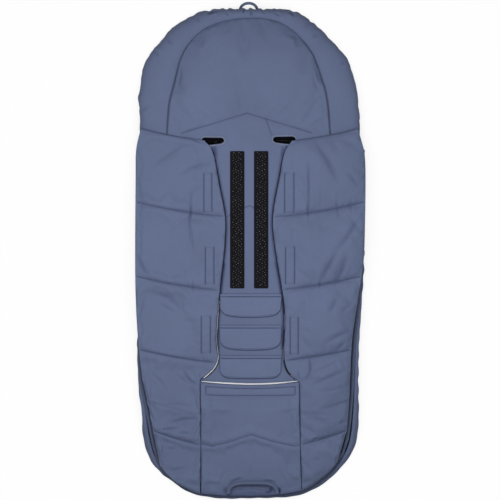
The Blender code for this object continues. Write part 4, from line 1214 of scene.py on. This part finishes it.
def scallop(fraction):
    """How far the gusset puffs out past its line, in soft bays between gathers."""
    reach = fraction * zip_line.length
    bays = abs(math.sin(math.pi * reach / 0.036 + 0.6 * wave(reach * 9, 1.0)))
    side = max(ease(abs(fraction - 0.5), 0.16, 0.24), 0.25)
    return (0.0052 * (bays - 0.60) + 0.0012 * wave(reach * 45, 5.0)) * side


def cover_point(fraction, ring, inner):
    """A point of the front cover: ring 0 is its rim at the zip, and each next ring lies further in."""
    centre, across, out, bulge, lean = zip_frame(fraction)
    if ring == 0:
        rim = centre - across * RIM_DROP + out * min(WALL / 2 * (1 + lean), bulge)
        return rim - out * WALL if inner else rim
    if inner:
        rings = ((bulge - 0.012, 0.034), (bulge - 0.012, 0.026), (bulge - 0.013, 0.019),
                 (bulge - 0.023, COVER_PAD), (-0.050, COVER_PAD))
    else:
        puff = scallop(fraction)
        rings = ((bulge + puff, 0.033), (bulge + 0.0012 + puff * 1.2, 0.024), (bulge - 0.0005 + puff, 0.012),
                 (bulge - 0.011, 0.0), (-0.045, 0.0))
    reach, z = rings[ring - 1]
    return np.append((centre + out * reach)[:2], z)


def lining_point(fraction, ring, inner):
    """A point of the front lining, in rings as the cover's."""
    centre, _, out, bulge, _ = zip_frame(fraction)
    if ring == 0:
        point = cover_point(fraction, 0, True) - out * 0.0085
        point[2] = 0.031
    else:
        rings = ((bulge - 0.0195, 0.0265), (bulge - 0.0295, LINING_Z), (-0.052, LINING_Z))
        reach, z = rings[ring - 1]
        point = np.append((centre + out * reach)[:2], z)
    if inner:
        point = point - out * (LINING if ring < 2 else 0.002)
        point[2] += 0 if ring < 2 else LINING
    return point


def tray(rings, deep, inner, n, m):
    """A grid of n by m cells from deep rings that follow the zip round three sides, and what lies within."""
    grid = np.zeros((m + 1, n + 1, 3))
    for k in range(deep + 1):
        for j in range(k, m + 1):
            up = (j - k) / (m - k)
            grid[j, k] = rings(CORNER_LEFT * (1 - up), k, inner)
            grid[j, n - k] = rings(CORNER_RIGHT + (1 - CORNER_RIGHT) * up, k, inner)
        for i in range(k, n - k + 1):
            grid[k, i] = rings(mix(CORNER_LEFT, CORNER_RIGHT, (i - k) / (n - 2 * k)), k, inner)
    for j in range(deep + 1, m + 1):
        for i in range(deep + 1, n - deep):
            grid[j, i] = mix(grid[j, deep], grid[j, n - deep], (i - deep) / (n - 2 * deep))
    return grid


cover_out, cover_in = (tray(cover_point, 5, inner, 44, 96) for inner in (False, True))
# The whole cover is made a little darker through its seam layer.
marks = np.full(cover_out.shape[:2], 0.12)
cover = slab("padded_front", cover_out, cover_in, "shell_fabric", "front", marks)
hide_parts("front_cover")

lining_out, lining_in = (tray(lining_point, 3, inner, 30, 60) for inner in (False, True))
lining_in[..., 2] += 0.0003 * rough(lining_in[..., :2], 60, 2.0)
front_fleece = slab("front_fleece", lining_in, lining_out, "lining_fleece", "front")
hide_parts("front_lining")


def back_fleece():
    """The back's lining, with a slit behind each slot, and its top darkened as painted shade where it shows
    through the slots.
    """
    f = 0.03 + 0.94 * np.arange(81) / 80
    outline = zip_line.at(f)[:, :2] - zip_line.side(f) * (BACK_INSET + 0.004)
    arc = hood_seam.at(1 - (0.09 + 0.82 * np.arange(41) / 40))
    arc = arc + unit(spot((0, 0.75)) - arc) * 0.004
    slits = [rounded(c, (size[0] - 0.006, 0.0008), 0.0003) for _, c, size in SLOTS]
    loops = [np.vstack([outline, arc])] + slits
    obj = plate("back_fleece", loops, BACK_LINING_Z, BACK_LINING_Z + LINING, "lining_fleece", "back")
    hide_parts("back_lining")
    # Painted shade: the lining's top, seen through the slots, is darkened well past the fleece's own colour.
    layer(obj, "seam", [1.5 * (v.co.z > BACK_LINING_Z + LINING / 2) for v in obj.data.vertices])
    return obj


def plate(name, loops, low, high, stuff, body, bevel=0.0):
    """A flat piece from plan loops, the first its outline and the rest its holes, with its edges rounded as
    far as bevel says.
    """
    curve = bpy.data.curves.new(name, "CURVE")
    curve.dimensions, curve.fill_mode = "2D", "BOTH"
    curve.extrude = (high - low) / 2 - bevel
    curve.bevel_depth, curve.bevel_resolution, curve.offset = bevel, 3, -bevel
    for loop in loops:
        spline = curve.splines.new("POLY")
        spline.points.add(len(loop) - 1)
        for point, p in zip(spline.points, loop):
            point.co = (p[0], p[1], 0, 1)
        spline.use_cyclic_u = True
    helper = bpy.data.objects.new(name, curve)
    mesh = bpy.data.meshes.new_from_object(helper)
    bpy.data.objects.remove(helper)
    work = bmesh.new()
    work.from_mesh(mesh)
    bmesh.ops.remove_doubles(work, verts=work.verts, dist=1e-6)
    verts = [(v.co.x, v.co.y, v.co.z + (low + high) / 2) for v in work.verts]
    faces = [[v.index for v in face.verts] for face in work.faces]
    work.free()
    bpy.data.meshes.remove(mesh)
    return dressed(name, verts, faces, stuff, body)


fleece_back = back_fleece()


# Small pieces on the back


def surface(obj):
    return BVHTree.FromPolygons(points_of(obj.data).tolist(), [list(p.vertices) for p in obj.data.polygons])


def drape(line, tree, lift):
    """Plan points laid on a surface from above."""
    out = []
    for p in line:
        hit = tree.ray_cast(Vector((p[0], p[1], 0.3)), Vector((0, 0, -1)))[0]
        if hit:
            out.append((p[0], p[1], hit.z + lift))
    return np.array(out)


def spaced(line, step):
    """The line with its points evenly spaced."""
    marks = marks_of(line)
    count = max(2, int(marks[-1] / step) + 1)
    return sampled(line, marks, np.linspace(0, marks[-1], count))


def stitches(name, lines, tree, body, radius=0.00048):
    """Rows of thread stitches that lie on a surface along plan lines, as one piece."""
    pitch, length, sides = 0.0036, 0.0029, 5
    angles = 2 * math.pi * np.arange(sides) / sides
    verts, faces = [], []
    for line in lines:
        points = drape(spaced(line, pitch / 4), tree, radius * 0.3)
        if len(points) < 6:
            continue
        marks = marks_of(points)
        for k in range(int(marks[-1] / pitch)):
            path = sampled(points, marks, k * pitch + np.linspace(0, length, 4))
            ahead = path[-1] - path[0]
            size = np.linalg.norm(ahead)
            if size < 1e-6:
                continue
            ahead /= size
            across = np.cross(ahead, (0, 0, 1))
            across /= max(np.linalg.norm(across), 1e-9)
            top = np.cross(across, ahead)
            faces += rod_faces(4, sides, len(verts))
            for p, r in zip(path, (0.45, 1.0, 1.0, 0.45)):
                verts += [p + radius * r * (across * math.cos(a) + top * math.sin(a)) for a in angles]
    return dressed(name, verts, faces, "thread", body)


for side in SIDES:
    tree = surface(shells[side])
    boxes = [stitch_box(*shape) for shape in PATCH_LINES[side]]
    lines = quilting(side) + [box[k:k + 2] for box in boxes for k in (1, 3)]
    stitches(f"stitching_{side}", lines, tree, bend_of(side))

stitches("stitching_pocket", [path_of(POCKET_CHEVRON), *pocket_box()], surface(shells["pocket"]), "back")
stitches("stitching_back", back_lines, surface(shells["back"]), "back")

path = join_z(hood_seam.at(np.linspace(0.004, 0.996, 240)), BACK_TOP - 0.0009)
tube("hood_seam_thread", path, "zip_coil", "back", 0.00085, 8, squash=(1.0, 0.7))


def bindings():
    """A rolled edge round each slot."""
    roll = 0.0034
    for name, centre, size in SLOTS:
        loop = slot_loop(name, centre, (size[0] + roll, size[1] + roll), (size[1] + roll) / 2 - 0.0005, 8)
        path = join_z(loop, BACK_TOP + 0.0011)
        obj = tube(f"{name}_roll", path, "binding_tape", "back", roll / 2, squash=(1.0, 0.42), closed=True)
        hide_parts(name)


bindings()


def grip_strips():
    """The anti-slip strips with their rubber dots."""
    pitch, columns = 0.0054, 4
    for side, at in STRIPS.items():
        centre = spot(at)
        loop = rounded(centre, STRIP_SIZE, 0.0025, 4)
        low, high = BACK_TOP + 0.0004, BACK_TOP + 0.0022
        strip = plate(f"grip_band_{side}", [loop], low, high, "grip_rubber", "back", bevel=0.0004)
        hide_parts(f"grip_strip_{side}")
        verts, faces = [], []
        for i in range(int(STRIP_SIZE[1] / pitch)):
            for j in range(columns):
                x = centre[0] + (j - 1.5) * pitch + 0.0008 * (-1) ** i
                y = centre[1] - STRIP_SIZE[1] / 2 + (i + 0.7 + 0.5 * (j % 2)) * pitch
                size = 0.75 + 0.6 * wave(x * 210, y * 210)
                if size < 0.55 or y > centre[1] + STRIP_SIZE[1] / 2 - 0.003:
                    continue
                faces += rod_faces(2, 7, len(verts))
                for r, z in ((0.00095 * size, 0.0), (0.0007 * size, 0.0004)):
                    for angle in 2 * math.pi * np.arange(7) / 7:
                        verts.append((x + r * math.cos(angle), y + r * math.sin(angle), high - 0.0001 + z))
        dressed(f"grip_dots_{side}", verts, faces, "dot", "back")


grip_strips()


def flap(name, top, foot, sag):
    """A crotch flap: two layers turned at the edge, with a curved foot, a crown and a rolled edge."""
    height = (top - foot) * LENGTH
    centre = spot((FLAP_X, (top + foot) / 2))
    low = BACK_TOP + 0.0021
    columns, rows = 44, 16
    turn = np.linspace(-math.pi / 2, math.pi / 2, columns + 1)
    s, t = np.meshgrid(np.sin(turn), np.linspace(0, 1, rows + 1))
    half, bend = FLAP_WIDTH / 2 + 0.0022, 0.017

    def foot_of(w):
        over = np.maximum(np.abs(w) * half - (half - bend), 0)
        return height - sag * np.abs(w) ** 2.5 - (bend - np.sqrt(np.maximum(bend ** 2 - over ** 2, 0)))

    deep = foot_of(s)
    down = t * deep
    x = centre[0] + s * (half - 0.0015 * t)
    y = centre[1] + height / 2 - down
    beside = (1 - np.abs(s)) * half
    border = np.minimum(beside, np.minimum(down + 0.002, (deep - down) * 0.8))
    plan = np.stack([x, y], -1)
    z = low + 0.0018 + 0.0009 * ease(border, 0.0, 0.012) + 0.0003 * rough(plan, 90, 6.0)
    roll = 0.0006 * peak(border - 0.0015, 0.0012)
    # Painted shade along the flap's sides and foot, and across its top row.
    marks = peak(np.minimum(beside, deep - down), 0.0012)
    marks[0] = 0.6
    obj = slab(f"{name}_sewn", join_z(plan, z + roll), join_z(plan, low), "flap_fabric", name, marks)
    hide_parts(name)
    w = np.linspace(-0.955, 0.955, 60)
    curve = np.stack([centre[0] + w * half, centre[1] + height / 2 - (foot_of(w) - 0.0036)], -1)
    stitches(f"stitching_{name}", [curve], surface(obj), name, radius=0.0004)
    across, up = np.meshgrid(np.linspace(-1, 1, 31), np.linspace(0, 1, 13))
    plan = centre + np.stack([across * (half - 0.001), height / 2 + 0.0005 + 0.0056 * up], -1)
    # Painted shade along the hem's upper edge.
    marks = 1.2 * peak(1 - up, 0.13)
    slab(f"{name}_hem", join_z(plan, low + 0.0010), join_z(plan, low), "flap_fabric", "back", marks)


for key, (top, foot) in FLAPS.items():
    flap(f"crotch_flap_{key}", top, foot, 0.003 if key == "lower" else 0.0075)


def pipings():
    """The reflective pipings of the wings and the pocket, and a dark tape beside each wing's edge that paints
    the shadow the edge throws, wider beside the flaps' ends.
    """
    for side, part in SIDES.items():
        free = Line(part.wing)

        def way_in(f):
            way = free.side(f)
            return np.where(way[:, :1] * part.sign < 0, way, -way)

        f = np.linspace(0.665, 0.999, 90)
        least, most = (0.30, 0.78) if side == "left" else (0.08, 0.10)
        swell = mix(least, most, ease(f, 0.885, 0.93))
        path = join_z(free.at(f) + way_in(f) * 0.0010, WING_BASE + WING_PAD / 2)
        obj = tube(f"wing_piping_{side}_cord", path, "reflective_piping", f"wing_{side}", 0.0012, swell=swell)
        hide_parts(f"wing_piping_{side}")
        # A dark tape beside the wing's edge as painted shadow, wider where the flaps' ends tuck under it.
        f = np.linspace(0.04, 0.995, 220)
        level = (free.at(f)[:, 1] - SHIFT[1]) / LENGTH + 0.5
        beside = 0
        for top, foot in FLAPS.values():
            beside = beside + ease(level, foot + 0.002, foot + 0.014) - ease(level, top - 0.006, top)
        swell = 1.0 + 0.35 * ease(f, 0.10, 0.16) - 0.30 * ease(f, 0.24, 0.34) + 0.75 * beside
        inward = way_in(f) * (0.0006 + 0.0009 * beside[:, None])
        path = join_z(free.at(f) + inward, WING_BASE + 0.0012)
        tube(f"wing_piping_{side}_tape", path, "zip_nylon", f"wing_{side}", 0.0010, 8, swell=swell)
    f = np.linspace(0.012, 0.988, 90)
    path = join_z(Line(POCKET_TOP).at(f) + np.array((0, 0.0020)), WING_BASE + WING_PAD / 2)
    swell = 0.35 + 0.42 * ease(np.minimum(f, 1 - f), 0.0, 0.25)
    obj = tube("pocket_piping_cord", path, "reflective_piping", "back", 0.0022, 12, swell=swell)
    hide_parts("pocket_piping")


pipings()


def zips():
    """The teeth on both sides of each zip, from its upper end to where the foot binding starts."""
    for side, f0, f1 in (("left", 0.0, ZIP_END_LEFT), ("right", 1.0, ZIP_END_RIGHT)):
        teeth = int(abs(f1 - f0) * zip_line.length / 0.0022)
        for owner, way, body in (("cover", -1, "front"), ("back", 1, "back")):
            path, ups = [], []
            for k in range(teeth * 2 + 1):
                centre, across, _, _, _ = zip_frame(mix(f0, f1, k / (teeth * 2)))
                path.append(centre + across * way * COIL_STEP)
                ups.append(across)
            swell = np.where(np.arange(len(path)) % 2 == 0, 1.0, 0.72)
            name = f"{owner}_zip_teeth_{side}"
            obj = tube(name, path, "zip_coil", body, COIL_RADIUS, 8, up=ups, swell=swell)
            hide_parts(f"{owner}_zip_coil_{side}")


zips()


def arch_band(name, node, body, centre, size, band, z, square, legs, lift=0.0):
    """A flat woven band bent into an arch that opens toward the foot."""
    count, across, thickness = 60, 6, 0.0016
    upper, lower = [], []
    for k in range(count + 1):
        angle = math.pi * min(max((k - 6) / (count - 12), 0), 1)
        leg = max(6 - k, k - count + 6, 0) * legs / 6
        less = band * np.arange(across + 1) / across
        x = (size[0] / 2 - less) * math.copysign(abs(math.cos(angle)) ** square, math.cos(angle))
        y = (size[1] - less) * max(math.sin(angle), 0.0) ** (0.5 + square / 2) - leg
        row = centre + np.stack([x, y], -1)
        hump = z + lift * math.sin(angle)
        upper.append(join_z(row, thickness + hump))
        lower.append(join_z(row, hump))
    # Painted shade along both edges of the band.
    marks = np.zeros((count + 1, across + 1))
    marks[:, 0] = marks[:, -1] = 1.0
    obj = slab(name, np.array(upper), np.array(lower), "webbing", body, marks)
    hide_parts(node)


hood_top = spot((-0.007, 1.0)) - np.array((0, 0.001))
arch_band("hang_loop_band", "hang_loop", "back", hood_top, (0.042, 0.0185), 0.006, 0.03,
          square=0.95, legs=0.012)
arch_band("foot_loop_band", "foot_loop", "foot_loop", spot(FOOT_LOOP), (0.110, 0.028), 0.008,
          FOLD_Z + 0.0005, square=0.5, legs=0.0001, lift=0.004)


def edge_bindings():
    """The binding round the foot between the zips, and the one along the cover's open end."""
    middle = (ZIP_Z - RIM_DROP - 0.0002 + FOOT_HINGE_Z - 0.0004) / 2
    path = []
    for f in np.linspace(ZIP_END_LEFT + 0.004, ZIP_END_RIGHT - 0.004, 60):
        centre, _, out, _, _ = zip_frame(f)
        path.append(np.append((centre + out * 0.0008)[:2], middle))
    obj = tube("foot_binding_tape", path, "zip_tape", "front", 0.0070, 12, squash=(0.42, 0.96))
    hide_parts("foot_binding")
    x = np.linspace(-0.80, 0.80, 120) * WIDTH / 2 + SHIFT[0]
    y = np.full_like(x, y_of(ZIP_LINE[0][1]) - 0.0005)
    path = join_z(np.stack([x, y], -1), COVER_PAD / 2)
    obj = tube("cuff_binding_tape", path, "binding_tape", "front", 0.0025, 12)
    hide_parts("cuff_binding")


edge_bindings()

# CAD pieces that keep their shape
KEPT = {
    "hook_patch": "hook_and_loop", "loop_patch": "hook_and_loop", "pocket_hook": "hook_and_loop",
    "pocket_loop": "hook_and_loop", "slider": "slider_metal", "zip_pull": "webbing",
    "cover_zip_tape": "zip_tape", "back_zip_tape": "zip_tape",
}
for name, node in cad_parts.items():
    for start, stuff in KEPT.items():
        if name.startswith(start):
            node.data.materials.clear()
            node.data.materials.append(STUFF[stuff])


# Floor, light and camera


def stage():
    """A pale floor that fades to white where nothing stands near it, under an even white sky."""
    mesh = bpy.data.meshes.new("floor")
    corners = [(-6, -6, 0), (6, -6, 0), (6, 6, 0), (-6, 6, 0)]
    mesh.from_pydata(corners, [], [(0, 1, 2, 3)])
    floor = placed("floor", mesh)
    made, tree, shader = nodes_of("floor")
    feed(tree, shader, Base_Color=(0.80, 0.80, 0.80, 1), Roughness=0.9, Specular_IOR_Level=0.0)
    white = add(tree, "ShaderNodeEmission", Color=(1, 1, 1, 1), Strength=1.0)
    path = add(tree, "ShaderNodeLightPath")
    seen = path.outputs["Is Camera Ray"]
    for ray in ("Is Glossy Ray", "Is Transmission Ray"):
        seen = add(tree, "ShaderNodeMath", seen, path.outputs[ray], operation="MAXIMUM").outputs[0]
    hidden = add(tree, "ShaderNodeAmbientOcclusion", Distance=0.3, samples=8)
    clear = add(tree, "ShaderNodeMapRange", Value=hidden.outputs["AO"], From_Min=0.15, From_Max=0.56,
                To_Min=0.0, To_Max=0.98)
    share = add(tree, "ShaderNodeMath", seen, clear.outputs["Result"], operation="MULTIPLY")
    both = add(tree, "ShaderNodeMixShader", share.outputs[0], shader.outputs["BSDF"],
               white.outputs["Emission"])
    feed(tree, tree.nodes["Material Output"], Surface=both.outputs["Shader"])
    mesh.materials.append(made)

    world = bpy.data.worlds.new("studio")
    bpy.context.scene.world = world
    world.use_nodes = True
    tree = world.node_tree
    path = add(tree, "ShaderNodeLightPath")
    strength = add(tree, "ShaderNodeMapRange", Value=path.outputs["Is Camera Ray"], To_Min=0.25, To_Max=1.0)
    feed(tree, tree.nodes["Background"], Color=(1, 1, 1, 1), Strength=strength.outputs["Result"])


def lamp(name, at, size, power):
    """A square light that looks at the middle of the part."""
    light = bpy.data.lights.new(name, "AREA")
    light.shape, light.size, light.energy = "SQUARE", size, power
    obj = placed(name, light)
    obj.location = at
    obj.rotation_mode = "QUATERNION"
    obj.rotation_quaternion = (Vector((0, 0, 0.03)) - Vector(at)).to_track_quat("-Z", "Y")


stage()
lamp("key", (-0.12, 0.10, 1.25), 0.7, 10.0)
lamp("fill", (0.9, -0.4, 1.6), 1.2, 2.0)

# The camera sees this width of the plane at this height
SEEN_WIDTH, SEEN_Z = 1.05, 0.055
SENSOR, LENS = 36.0, 180.0
camera_data = bpy.data.cameras.new("camera")
camera = placed("camera", camera_data)
camera_data.sensor_width, camera_data.lens = SENSOR, LENS
camera_data.clip_end = 50
camera.location = (0.0004, -0.0020, SEEN_WIDTH * LENS / SENSOR + SEEN_Z)
bpy.context.scene.camera = camera
bpy.context.scene.view_settings.view_transform = "Standard"
